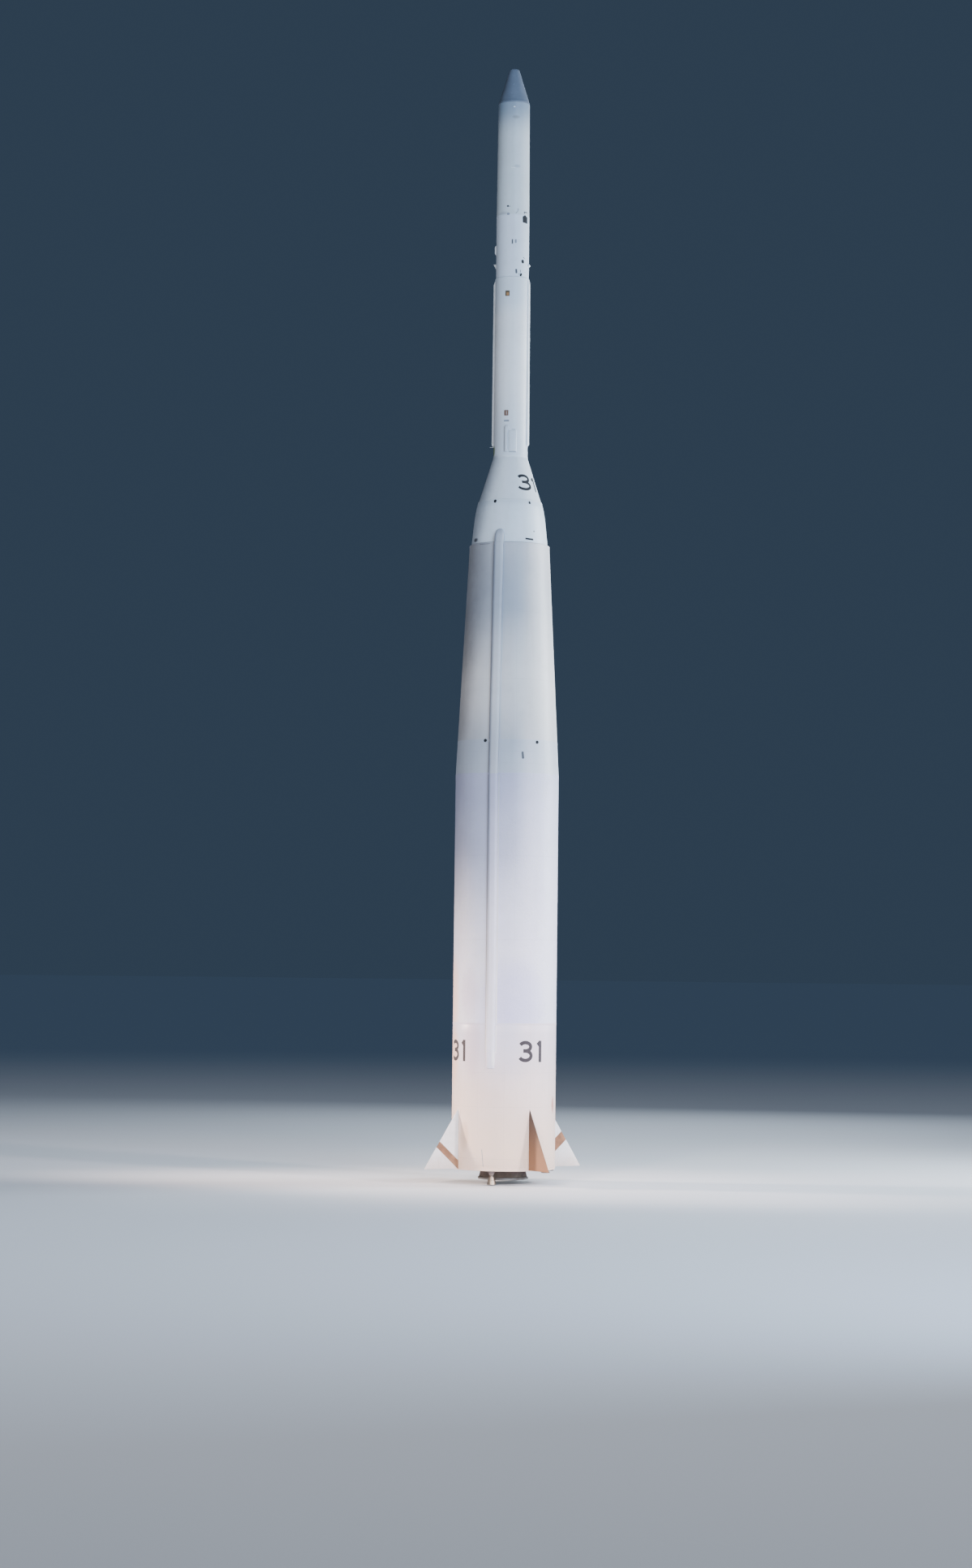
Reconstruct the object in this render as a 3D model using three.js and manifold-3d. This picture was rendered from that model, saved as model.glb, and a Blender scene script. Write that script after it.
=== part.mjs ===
// Two-stage liquid-fuel space rocket, standing on its launch pads. Millimetres, +Z up.
// The frame's origin is the face of the launch pad under the front cable tunnel (-Y side),
// so the rocket's own axis stands at y = +PAD_RADIUS. Azimuths run from -Y towards +X.
import * as THREE from 'three';
import { mergeVertices } from 'three/addons/utils/BufferGeometryUtils.js';
import Module from 'manifold-3d';

const wasm = await Module();
wasm.setup();
const { Manifold, Mesh: SolidMesh } = wasm;

const GAP = 0.3;
const WALL_GAP = 2;
const BODY_SIDES = 72;
const SLIM_SIDES = 48;

// Body radii and the heights of the seams, from the pad face up
const BODY_R = 1219;
const TANK_TOP_R = 945;
const GUIDANCE_LOW_R = 905;
const GUIDANCE_BEND_R = 834;
const GUIDANCE_MID_R = 800;
const GUIDANCE_TOP_R = 757;
const ADAPTER_LOW_R = 742;
const STAGE2_R = 403.5;
const INSTRUMENT_R = 390;
const PAYLOAD_LOW_R = 388;
const PAYLOAD_TOP_R = 373;

const RING_Z0 = 20;
const RING_Z1 = 120;
const ENGINE_TOP_Z = 3430;
const OXIDISER_TOP_Z = 9270;
const CENTRE_TOP_Z = 10050;
const FUEL_TOP_Z = 14740;
const GUIDANCE_BEND_Z = 15400;
const GUIDANCE_MID_Z = 15600;
const GUIDANCE_TOP_Z = 15780;
const ADAPTER_TOP_Z = 16860;
const STAGE2_TOP_Z = 21150;
const INSTRUMENT_TOP_Z = 22640;
const PAYLOAD_TOP_Z = 25370;
const TIP_Z = 26250;

const RING_INNER_R = 1140;
const PAD_RADIUS = 1180;
const SKIRT_INNER_R = 1200;

const root = new THREE.Group();
root.name = 'space_rocket';

const coneR = (z) => BODY_R + (TANK_TOP_R - BODY_R) * (z - OXIDISER_TOP_Z) / (FUEL_TOP_Z - OXIDISER_TOP_Z);
const guidanceR = (z) => GUIDANCE_LOW_R
  + (GUIDANCE_BEND_R - GUIDANCE_LOW_R) * (z - FUEL_TOP_Z) / (GUIDANCE_BEND_Z - FUEL_TOP_Z);

// Welds a geometry, drops its needle triangles and turns its faces outward.
function weld(source) {
  const plain = new THREE.BufferGeometry();
  plain.setAttribute('position', source.getAttribute('position').clone());
  if (source.index) plain.setIndex(source.index.clone());
  const g = mergeVertices(plain, 1e-3);
  const p = g.getAttribute('position');
  const idx = [];
  let volume = 0;
  const a = new THREE.Vector3();
  const b = new THREE.Vector3();
  const c = new THREE.Vector3();
  for (let i = 0; i < g.index.count; i += 3) {
    const [i0, i1, i2] = [g.index.getX(i), g.index.getX(i + 1), g.index.getX(i + 2)];
    if (i0 === i1 || i1 === i2 || i0 === i2) continue;
    a.fromBufferAttribute(p, i0);
    b.fromBufferAttribute(p, i1);
    c.fromBufferAttribute(p, i2);
    volume += a.dot(b.clone().cross(c));
    idx.push(i0, i1, i2);
  }
  if (volume < 0) {
    for (let i = 0; i < idx.length; i += 3) [idx[i + 1], idx[i + 2]] = [idx[i + 2], idx[i + 1]];
  }
  g.setIndex(idx);
  return g;
}

function toSolid(source) {
  const g = weld(source);
  const vertProperties = Float32Array.from(g.getAttribute('position').array);
  const triVerts = Uint32Array.from(g.index.array);
  return new Manifold(new SolidMesh({ numProp: 3, vertProperties, triVerts }));
}

function fromSolid(solid) {
  const m = solid.getMesh();
  const g = new THREE.BufferGeometry();
  const xyz = new Float32Array(m.numVert * 3);
  for (let i = 0; i < m.numVert; i++) {
    for (let k = 0; k < 3; k++) xyz[i * 3 + k] = m.vertProperties[i * m.numProp + k];
  }
  g.setAttribute('position', new THREE.BufferAttribute(xyz, 3));
  g.setIndex(Array.from(m.triVerts));
  return g;
}

const join = (parts) => fromSolid(Manifold.union(parts.map(toSolid)));
const cut = (body, tools) => fromSolid(toSolid(body).subtract(Manifold.union(tools.map(toSolid))));

// Revolves a profile of [radius, height] pairs about the rocket's axis.
function revolve(profile, sides) {
  const g = new THREE.LatheGeometry(profile.map(([r, z]) => new THREE.Vector2(r, z)), sides);
  return g.rotateX(Math.PI / 2);
}

function box(x0, x1, y0, y1, z0, z1) {
  return new THREE.BoxGeometry(x1 - x0, y1 - y0, z1 - z0)
    .translate((x0 + x1) / 2, (y0 + y1) / 2, (z0 + z1) / 2);
}

function rod(radius, length, sides, axis) {
  const g = new THREE.CylinderGeometry(radius, radius, length, sides);
  if (axis === 'x') g.rotateZ(Math.PI / 2);
  if (axis === 'z') g.rotateX(Math.PI / 2);
  return g;
}

// Joins closed outlines with equal point counts into one skin, capped at both ends.
function loft(rings) {
  const n = rings[0].length;
  const pts = rings.flat();
  const idx = [];
  for (let s = 0; s + 1 < rings.length; s++) {
    for (let i = 0; i < n; i++) {
      const j = (i + 1) % n;
      const [a, b, c, d] = [s * n + i, s * n + j, (s + 1) * n + j, (s + 1) * n + i];
      idx.push(a, b, c, a, c, d);
    }
  }
  for (const s of [0, rings.length - 1]) {
    const mid = [0, 1, 2].map((k) => rings[s].reduce((sum, q) => sum + q[k], 0) / n);
    pts.push(mid);
    for (let i = 0; i < n; i++) {
      const j = (i + 1) % n;
      if (s === 0) idx.push(pts.length - 1, s * n + j, s * n + i);
      else idx.push(pts.length - 1, s * n + i, s * n + j);
    }
  }
  const g = new THREE.BufferGeometry();
  g.setAttribute('position', new THREE.BufferAttribute(new Float32Array(pts.flat()), 3));
  g.setIndex(idx);
  return g;
}

// Outline at height z of a cover that lies on a round wall at azimuth 0: its underside follows
// the wall's arc, and its outside is a box with rounded corners, across = half cos^e t and
// out = height sin^e t.
const UNDER_STEPS = 4;
const OVER_STEPS = 8;
const CORNER = 0.55;

function coverRing(z, wallR, width, height) {
  const half = width / 2;
  const under = wallR + WALL_GAP;
  const ring = [];
  for (let i = 0; i <= UNDER_STEPS; i++) {
    const x = -half + (2 * half * i) / UNDER_STEPS;
    ring.push([x, -Math.sqrt(under ** 2 - x * x), z]);
  }
  const edgeY = Math.sqrt(under ** 2 - half * half);
  for (let i = 1; i < OVER_STEPS; i++) {
    const t = (Math.PI * i) / OVER_STEPS;
    const across = Math.sign(Math.cos(t)) * Math.abs(Math.cos(t)) ** CORNER;
    ring.push([half * across, -(edgeY + (wallR + height - edgeY) * Math.sin(t) ** CORNER), z]);
  }
  return ring;
}

// rows: [height, wall radius, width, cover height]
const cover = (rows) => loft(rows.map((row) => coverRing(...row)));

const turned = (g, azimuth) => g.clone().rotateZ(THREE.MathUtils.degToRad(azimuth));

function add(name, geometry, colour) {
  const g = weld(geometry).translate(0, PAD_RADIUS, 0);
  const shown = g.toNonIndexed();
  shown.computeVertexNormals();
  const mesh = new THREE.Mesh(shown, new THREE.MeshStandardMaterial({ color: colour, roughness: 0.6 }));
  mesh.name = name;
  root.add(mesh);
}

const WHITE = 0xdfe0e2;
const GREY = 0xa9adb3;
const SLATE = 0x4b5566;
const BLACK = 0x1b1c1f;
const METAL = 0x8d8579;
const DARK = 0x3c3b3a;
const TAG = 0x8a4f2a;

// Stacked body sections: [name, sides, colour, wall rows of [radius, height] from the bottom up]
const sections = [
  ['payload_section', SLIM_SIDES, WHITE, [
    [PAYLOAD_LOW_R, INSTRUMENT_TOP_Z], [PAYLOAD_TOP_R, PAYLOAD_TOP_Z]]],
  ['instrument_section', SLIM_SIDES, WHITE, [
    [INSTRUMENT_R, STAGE2_TOP_Z], [INSTRUMENT_R, INSTRUMENT_TOP_Z]]],
  ['second_stage_tank', SLIM_SIDES, WHITE, [
    [STAGE2_R, ADAPTER_TOP_Z], [STAGE2_R, STAGE2_TOP_Z]]],
  ['adapter_cone', BODY_SIDES, WHITE, [
    [ADAPTER_LOW_R, GUIDANCE_TOP_Z], [STAGE2_R, ADAPTER_TOP_Z]]],
  ['guidance_section', BODY_SIDES, GREY, [
    [GUIDANCE_LOW_R, FUEL_TOP_Z], [GUIDANCE_BEND_R, GUIDANCE_BEND_Z],
    [GUIDANCE_MID_R, GUIDANCE_MID_Z], [GUIDANCE_TOP_R, GUIDANCE_TOP_Z]]],
  ['fuel_tank', BODY_SIDES, WHITE, [
    [coneR(CENTRE_TOP_Z), CENTRE_TOP_Z], [TANK_TOP_R, FUEL_TOP_Z]]],
  ['centre_body', BODY_SIDES, GREY, [
    [BODY_R, OXIDISER_TOP_Z], [coneR(CENTRE_TOP_Z), CENTRE_TOP_Z]]],
  ['oxidiser_tank', BODY_SIDES, WHITE, [
    [BODY_R, ENGINE_TOP_Z], [BODY_R, OXIDISER_TOP_Z]]],
];
for (const [name, sides, colour, wall] of sections) {
  const low = wall[0][1];
  const [topR, topZ] = wall[wall.length - 1];
  const rim = topZ - GAP;
  add(name, revolve([[0, low], ...wall.slice(0, -1), [topR, rim], [0, rim]], sides), colour);
}

// Nose cone: a blunt cone with a rounded tip
const NOSE_TIP_R = 128;
const NOSE_SHOULDER_Z = TIP_Z - 70;
add('nose_cone', revolve([
  [0, PAYLOAD_TOP_Z], [PAYLOAD_TOP_R - 4, PAYLOAD_TOP_Z], [PAYLOAD_TOP_R - 21, PAYLOAD_TOP_Z + 85],
  [NOSE_TIP_R + 12, NOSE_SHOULDER_Z - 30], [NOSE_TIP_R, NOSE_SHOULDER_Z], [NOSE_TIP_R - 18, TIP_Z - 32],
  [NOSE_TIP_R - 55, TIP_Z - 8], [0, TIP_Z],
], SLIM_SIDES), SLATE);

// Engine section: an open-bottomed tube with a ring frame inside, and the flat base ring under it
const FRAME_Z = 620;
const FRAME_DEPTH = 45;
const FRAME_HALF = 9;
add('engine_section', revolve([
  [SKIRT_INNER_R, RING_Z1 + GAP], [BODY_R, RING_Z1 + GAP], [BODY_R, ENGINE_TOP_Z - GAP],
  [SKIRT_INNER_R, ENGINE_TOP_Z - GAP], [SKIRT_INNER_R, FRAME_Z + FRAME_HALF],
  [SKIRT_INNER_R - FRAME_DEPTH, FRAME_Z + FRAME_HALF], [SKIRT_INNER_R - FRAME_DEPTH, FRAME_Z - FRAME_HALF],
  [SKIRT_INNER_R, FRAME_Z - FRAME_HALF], [SKIRT_INNER_R, RING_Z1 + GAP],
], BODY_SIDES), WHITE);
add('base_ring', revolve([
  [RING_INNER_R, RING_Z0], [BODY_R, RING_Z0], [BODY_R, RING_Z1], [RING_INNER_R, RING_Z1],
  [RING_INNER_R, RING_Z0],
], BODY_SIDES), METAL);

// Launch pads: blocks under the base ring that stand on the launcher
const PAD_LENGTH = 160;
const PAD_DEPTH = 70;
const padBlock = box(-PAD_LENGTH / 2, PAD_LENGTH / 2, -PAD_RADIUS - PAD_DEPTH / 2,
  -PAD_RADIUS + PAD_DEPTH / 2, 0, RING_Z0 - GAP);
[['front', 0], ['right', 90], ['back', 180], ['left', 270]].forEach(([side, azimuth]) => {
  add(`launch_pad_${side}`, turned(padBlock, azimuth), DARK);
});

// Fins: outline in [radius, height], one thin wedge on each diagonal
const FIN_ROOT_R = BODY_R + 2;
const FIN_TIP_R = 2105;
const FIN_LOW_Z = 40;
const FIN_TOP_Z = 1460;
const FIN_HALF = 18;
const FIN_EDGE_HALF = 6;
const FIN_EDGE_BAND = 90;
const finOutline = [[FIN_ROOT_R, FIN_LOW_Z], [FIN_TIP_R, FIN_LOW_Z], [FIN_TIP_R, FIN_LOW_Z + 30],
  [FIN_ROOT_R, FIN_TOP_Z]];
const finCore = [[FIN_ROOT_R, FIN_LOW_Z], [FIN_TIP_R - FIN_EDGE_BAND, FIN_LOW_Z],
  [FIN_TIP_R - FIN_EDGE_BAND - 20, FIN_LOW_Z + 30], [FIN_ROOT_R, FIN_TOP_Z - 2 * FIN_EDGE_BAND]];
const finBlade = loft([
  finCore.map(([r, z]) => [-FIN_HALF, -r, z]),
  finOutline.map(([r, z]) => [-FIN_EDGE_HALF, -r, z]),
  finOutline.map(([r, z]) => [FIN_EDGE_HALF, -r, z]),
  finCore.map(([r, z]) => [FIN_HALF, -r, z]),
]);
[['front_right', 45, BLACK], ['back_right', 135, WHITE], ['back_left', 225, BLACK],
  ['front_left', 315, WHITE]].forEach(([place, azimuth, colour]) => {
  add(`fin_${place}`, turned(finBlade, azimuth), colour);
});

// Cable tunnels along both sides of the first stage, each in three lengths
const TUNNEL_WIDTH = 220;
const TUNNEL_HEIGHT = 95;
const TUNNEL_TOP_Z = 15060;
const TUNNEL_LOW_Z = 2400;
const TUNNEL_FOOT = 430;
const tunnelRow = (z, wall) => [z, wall, TUNNEL_WIDTH, TUNNEL_HEIGHT];
const tunnelLower = cover([
  [TUNNEL_LOW_Z, BODY_R, TUNNEL_WIDTH * 0.8, 22],
  tunnelRow(TUNNEL_LOW_Z + TUNNEL_FOOT, BODY_R),
  tunnelRow(OXIDISER_TOP_Z - GAP, BODY_R),
]);
const tunnelUpper = cover([
  tunnelRow(OXIDISER_TOP_Z, BODY_R),
  tunnelRow(FUEL_TOP_Z - GAP, TANK_TOP_R),
]);
const tunnelOuter = TANK_TOP_R + TUNNEL_HEIGHT;
const tunnelNose = cover([
  [FUEL_TOP_Z, guidanceR(FUEL_TOP_Z), TUNNEL_WIDTH, tunnelOuter - guidanceR(FUEL_TOP_Z)],
  [TUNNEL_TOP_Z - 120, guidanceR(TUNNEL_TOP_Z - 120), TUNNEL_WIDTH * 0.9, 120],
  [TUNNEL_TOP_Z - 40, guidanceR(TUNNEL_TOP_Z - 40), TUNNEL_WIDTH * 0.66, 75],
  [TUNNEL_TOP_Z, guidanceR(TUNNEL_TOP_Z), TUNNEL_WIDTH * 0.36, 22],
]);
[['front', 0], ['back', 180]].forEach(([side, azimuth]) => {
  add(`tunnel_lower_${side}`, turned(tunnelLower, azimuth), GREY);
  add(`tunnel_upper_${side}`, turned(tunnelUpper, azimuth), GREY);
  add(`tunnel_nose_${side}`, turned(tunnelNose, azimuth), GREY);
});

// Fittings on the slim upper part: [name, azimuth, colour, cover rows]
const STRIP_LOW_Z = 17140;
const STRIP_TOP_Z = 21130;
const STRIP_WIDTH = 120;
const conduit = (lowHeight, topHeight) => [
  [STRIP_LOW_Z, STAGE2_R, STRIP_WIDTH * 0.8, 20], [STRIP_LOW_Z + 50, STAGE2_R, STRIP_WIDTH, lowHeight],
  [STRIP_TOP_Z - 110, STAGE2_R, STRIP_WIDTH, topHeight], [STRIP_TOP_Z, STAGE2_R, STRIP_WIDTH * 0.7, 9],
];
const fittings = [
  ['conduit_right', 90, WHITE, conduit(38, 27)],
  ['conduit_left', 270, WHITE, conduit(53, 43)],
  ['drain_pipe', 0, WHITE, [
    [16960, STAGE2_R, 84, 44], [17560, STAGE2_R, 84, 44], [17600, STAGE2_R, 60, 20]]],
  ['access_box', 22, WHITE, [
    [16970, STAGE2_R, 190, 34], [17480, STAGE2_R, 190, 24]]],
  ['tag_plate_lower', 0, TAG, [
    [17825, STAGE2_R, 100, 9], [17955, STAGE2_R, 100, 9]]],
  ['tag_plate_upper', 0, TAG, [
    [20685, STAGE2_R, 100, 9], [20815, STAGE2_R, 100, 9]]],
  ['side_blister', 278, WHITE, [
    [21740, INSTRUMENT_R, 90, 10], [21770, INSTRUMENT_R, 110, 47],
    [21950, INSTRUMENT_R, 110, 47], [21985, INSTRUMENT_R, 90, 10]]],
  ['antenna_wedge_right', 90, METAL, [
    [21420, INSTRUMENT_R, 40, 8], [21467, INSTRUMENT_R, 50, 52], [21525, INSTRUMENT_R, 40, 8]]],
  ['antenna_wedge_left', 270, METAL, [
    [21404, INSTRUMENT_R, 40, 8], [21530, INSTRUMENT_R, 60, 72]]],
];
for (const [name, azimuth, colour, rows] of fittings) {
  add(name, turned(cover(rows), azimuth), colour);
}

// Main engine: gimballed in two axes under a conical thrust frame
const PIVOT_Z = 2150;
const PIN_R = 30;
const PIN_HOLE_R = 30.8;
const PIN_SIDES = 24;
const EAR_IN = 75;
const EAR_OUT = 125;
const CROSS_HALF = 60;
const PIN_REACH = 130;
const NOZZLE_EXIT_Z = -220;
const NOZZLE_EXIT_R = 580;
const THROAT_Z = 1000;
const THROAT_R = 225;
const CHAMBER_R = 270;
const CHAMBER_TOP_Z = 1900;
const WALL = 22;
const FRAME_LOW_Z = 2350;
const BELL_SIDES = 36;

const bellR = (t) => THROAT_R + (NOZZLE_EXIT_R - THROAT_R) * t ** 0.78;
const bellSteps = [1, 0.8, 0.6, 0.42, 0.27, 0.14, 0.05];
const bellRow = (t, wall) => [bellR(t) - wall, THROAT_Z + (NOZZLE_EXIT_Z - THROAT_Z) * t];
const chamberOuter = [[THROAT_R, THROAT_Z + 30], [CHAMBER_R, THROAT_Z + 200], [CHAMBER_R, CHAMBER_TOP_Z]];
const chamberInner = [[CHAMBER_R - WALL, CHAMBER_TOP_Z - 60], [CHAMBER_R - WALL, THROAT_Z + 200],
  [THROAT_R - WALL, THROAT_Z + 30]];
const thrustChamber = revolve([
  ...bellSteps.map((t) => bellRow(t, 0)), ...chamberOuter, [0, CHAMBER_TOP_Z],
  [0, CHAMBER_TOP_Z - 60], ...chamberInner, ...[...bellSteps].reverse().map((t) => bellRow(t, WALL)),
  bellRow(1, 0),
], BELL_SIDES);

const pinHole = (axis) => rod(PIN_HOLE_R, 400, PIN_SIDES, axis).translate(0, 0, PIVOT_Z);
const engineEar = (s) => box(-55, 55, Math.min(s * EAR_IN, s * EAR_OUT), Math.max(s * EAR_IN, s * EAR_OUT),
  CHAMBER_TOP_Z - 20, PIVOT_Z + 60);
// Stiffening bands, half as high at their rim as at their root: [height, half height, depth]
const BAND_ROOT = 8;
const bands = [[NOZZLE_EXIT_Z + 28, 24, 24], [70, 32, 46], [420, 12, 16], [1800, 20, 20]];
const wallAt = (z) => (z > THROAT_Z ? CHAMBER_R : bellR((THROAT_Z - z) / (THROAT_Z - NOZZLE_EXIT_Z)));
const bandRing = ([z, half, depth]) => {
  const root = wallAt(z) - BAND_ROOT;
  const rim = wallAt(z) + depth;
  return revolve([[root, z - half], [rim, z - half / 2], [rim, z + half / 2], [root, z + half],
    [root, z - half]], BELL_SIDES);
};
add('main_engine', cut(join([thrustChamber, ...bands.map(bandRing), engineEar(1), engineEar(-1)]),
  [pinHole('y')]), METAL);

add('gimbal_cross', join([
  box(-CROSS_HALF, CROSS_HALF, -CROSS_HALF, CROSS_HALF, PIVOT_Z - 40, PIVOT_Z + 40),
  rod(PIN_R, 2 * PIN_REACH, PIN_SIDES, 'x').translate(0, 0, PIVOT_Z),
  rod(PIN_R, 2 * PIN_REACH, PIN_SIDES, 'y').translate(0, 0, PIVOT_Z),
]), METAL);

const frameEar = (s) => box(Math.min(s * EAR_IN, s * EAR_OUT), Math.max(s * EAR_IN, s * EAR_OUT), -55, 55,
  PIVOT_Z - 60, FRAME_LOW_Z + 20);
const frameCone = revolve([
  [0, FRAME_LOW_Z], [260, FRAME_LOW_Z], [SKIRT_INNER_R - 12, ENGINE_TOP_Z - 60],
  [SKIRT_INNER_R - 12, ENGINE_TOP_Z - 2], [SKIRT_INNER_R - 60, ENGINE_TOP_Z - 2],
  [240, FRAME_LOW_Z + 60], [0, FRAME_LOW_Z + 60],
], BELL_SIDES);
add('thrust_frame', cut(join([frameCone, frameEar(1), frameEar(-1)]), [pinHole('x')]), METAL);

// Heat shield plate across the engine section, and what passes beside the nozzle
const SHIELD_Z = 880;
const SHIELD_THICKNESS = 20;
const SHIELD_HOLE_R = 560;
const RIB_COUNT = 12;
const RIB_HALF = 8;
const RIB_DEPTH = 24;
const DUCT_R = 85;
const DUCT_AT = 1030;
const DUCT_LOW_Z = -60;
const PUMP_LOW_Z = 1350;
const circle = (path, x, y, r) => path.absarc(x, y, r, 0, 2 * Math.PI, false);
const shieldShape = circle(new THREE.Shape(), 0, 0, SKIRT_INNER_R - 6);
shieldShape.holes.push(circle(new THREE.Path(), 0, 0, SHIELD_HOLE_R));
shieldShape.holes.push(circle(new THREE.Path(), DUCT_AT, 0, DUCT_R + 8));
const shieldPlate = new THREE.ExtrudeGeometry(shieldShape, {
  depth: SHIELD_THICKNESS, bevelEnabled: false, curveSegments: 30,
}).translate(0, 0, SHIELD_Z);
const shieldRib = box(-RIB_HALF, RIB_HALF, -(SKIRT_INNER_R - 50), -(SHIELD_HOLE_R + 40),
  SHIELD_Z - RIB_DEPTH, SHIELD_Z + SHIELD_THICKNESS / 2);
const shieldRibs = Array.from({ length: RIB_COUNT }, (_, i) => (
  turned(shieldRib, (360 * (i + 0.5)) / RIB_COUNT)));
add('heat_shield', join([shieldPlate, ...shieldRibs]), DARK);
add('exhaust_duct', revolve([
  [DUCT_R - 8, DUCT_LOW_Z], [DUCT_R, DUCT_LOW_Z], [DUCT_R, PUMP_LOW_Z - GAP], [DUCT_R - 8, PUMP_LOW_Z - GAP],
  [DUCT_R - 8, DUCT_LOW_Z],
], 24).translate(DUCT_AT, 0, 0), METAL);
add('turbopump_block', box(640, 1165, -250, 250, PUMP_LOW_Z, 2050), METAL);

// Vernier engines: each swings about a radial pin in a bracket on the wall
const VERNIER_AT = 1020;
const VERNIER_PIVOT_Z = 230;
const VERNIER_EXIT_Z = -300;
const VERNIER_EXIT_R = 108;
const VERNIER_CHAMBER_R = 62;
const VERNIER_PIN_R = 16;
const VERNIER_HOLE_R = 16.6;
const vernierBell = revolve([
  [VERNIER_EXIT_R - 8, VERNIER_EXIT_Z], [VERNIER_EXIT_R, VERNIER_EXIT_Z], [84, -190], [46, -90],
  [VERNIER_CHAMBER_R, -50], [VERNIER_CHAMBER_R, 170], [30, 185], [30, VERNIER_PIVOT_Z + 26],
  [0, VERNIER_PIVOT_Z + 26], [0, 160], [VERNIER_CHAMBER_R - 10, 150], [VERNIER_CHAMBER_R - 10, -46],
  [38, -88], [75, -190], [VERNIER_EXIT_R - 8, VERNIER_EXIT_Z],
], 32);
const vernier = join([vernierBell, rod(VERNIER_PIN_R, 150, PIN_SIDES, 'y').translate(0, 0, VERNIER_PIVOT_Z)])
  .translate(0, -VERNIER_AT, 0);
const bracket = cut(join([
  box(-45, 45, -78, -50, 202, 400),
  box(-45, 45, 50, 78, 202, 400),
  box(-90, 90, -174.5, 78, 340, 400),
]), [rod(VERNIER_HOLE_R, 400, PIN_SIDES, 'y').translate(0, 0, VERNIER_PIVOT_Z)])
  .translate(0, -VERNIER_AT, 0);
[['front', 0], ['back', 180]].forEach(([side, azimuth]) => {
  add(`vernier_bracket_${side}`, turned(bracket, azimuth), DARK);
  add(`vernier_engine_${side}`, turned(vernier, azimuth), METAL);
});

export default root;
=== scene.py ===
import math

import bpy
import numpy as np
from mathutils import Matrix, Vector


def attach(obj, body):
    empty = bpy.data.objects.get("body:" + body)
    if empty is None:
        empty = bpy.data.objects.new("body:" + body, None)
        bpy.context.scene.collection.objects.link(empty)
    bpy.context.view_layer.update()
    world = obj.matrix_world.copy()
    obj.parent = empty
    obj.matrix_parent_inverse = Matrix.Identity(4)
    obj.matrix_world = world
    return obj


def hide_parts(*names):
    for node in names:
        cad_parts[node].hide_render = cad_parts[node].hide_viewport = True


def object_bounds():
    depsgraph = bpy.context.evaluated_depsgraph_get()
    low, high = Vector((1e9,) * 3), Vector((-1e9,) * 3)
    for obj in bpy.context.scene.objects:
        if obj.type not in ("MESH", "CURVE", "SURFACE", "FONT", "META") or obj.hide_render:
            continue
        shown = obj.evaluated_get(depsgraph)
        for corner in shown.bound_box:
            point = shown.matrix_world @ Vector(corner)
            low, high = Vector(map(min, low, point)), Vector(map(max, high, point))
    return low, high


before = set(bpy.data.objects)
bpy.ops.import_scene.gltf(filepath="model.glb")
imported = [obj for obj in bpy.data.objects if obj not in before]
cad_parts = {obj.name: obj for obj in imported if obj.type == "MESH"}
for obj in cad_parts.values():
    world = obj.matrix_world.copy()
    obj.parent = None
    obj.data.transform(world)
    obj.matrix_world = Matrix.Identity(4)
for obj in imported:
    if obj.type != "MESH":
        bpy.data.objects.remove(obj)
cad_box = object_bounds()

# Places and sizes of the rocket, in metres. Azimuths are in degrees from -Y towards +X.
AXIS_Y = 1.18
RING_LOW, RING_HIGH = 0.02, 0.12
ENGINE_TOP = 3.43
OXIDISER_TOP = 9.27
CENTRE_TOP = 10.05
FUEL_TOP = 14.74
GUIDANCE_BEND = 15.40
GUIDANCE_MID = 15.60
GUIDANCE_TOP = 15.78
ADAPTER_TOP = 16.86
STAGE2_TOP = 21.15
INSTRUMENT_TOP = 22.64
PAYLOAD_TOP = 25.37
TIP = 26.25

BODY_R = 1.219
TANK_TOP_R = 0.945
GUIDANCE_LOW_R, GUIDANCE_BEND_R, GUIDANCE_MID_R, GUIDANCE_TOP_R = 0.905, 0.834, 0.800, 0.757
ADAPTER_LOW_R = 0.742
STAGE2_R = 0.4035
INSTRUMENT_R = 0.390
PAYLOAD_LOW_R, PAYLOAD_TOP_R = 0.388, 0.373

# A step in radius takes this much height; what is laid on the wall reaches this far into it
STEP = 1e-4
ROOT = 0.004

# The outer wall as height and radius, each seam with the radius below and above it
WALL = np.array([
    (RING_LOW, BODY_R), (OXIDISER_TOP, BODY_R), (FUEL_TOP - STEP, TANK_TOP_R),
    (FUEL_TOP, GUIDANCE_LOW_R), (GUIDANCE_BEND, GUIDANCE_BEND_R), (GUIDANCE_MID, GUIDANCE_MID_R),
    (GUIDANCE_TOP - STEP, GUIDANCE_TOP_R), (GUIDANCE_TOP, ADAPTER_LOW_R),
    (ADAPTER_TOP, STAGE2_R), (STAGE2_TOP - STEP, STAGE2_R), (STAGE2_TOP, INSTRUMENT_R),
    (INSTRUMENT_TOP - STEP, INSTRUMENT_R), (INSTRUMENT_TOP, PAYLOAD_LOW_R), (PAYLOAD_TOP, PAYLOAD_TOP_R),
])


def wall_r(height):
    """Radius of the outer wall at a height: straight lines between the seams."""
    return np.interp(height, WALL[:, 0], WALL[:, 1])


def turned(azimuth, out, across, up):
    """Points out from the rocket's axis, across and up, turned to an azimuth a: x = out sin a + across cos a,
    y = axis - out cos a + across sin a, z = up."""
    a = np.radians(azimuth)
    x, y = out * np.sin(a) + across * np.cos(a), AXIS_Y - out * np.cos(a) + across * np.sin(a)
    return np.stack(np.broadcast_arrays(x, y, up), axis=-1)


def placed(name, data):
    """A new object of this data in the scene."""
    made = bpy.data.objects.new(name, data)
    bpy.context.scene.collection.objects.link(made)
    return made


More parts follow.
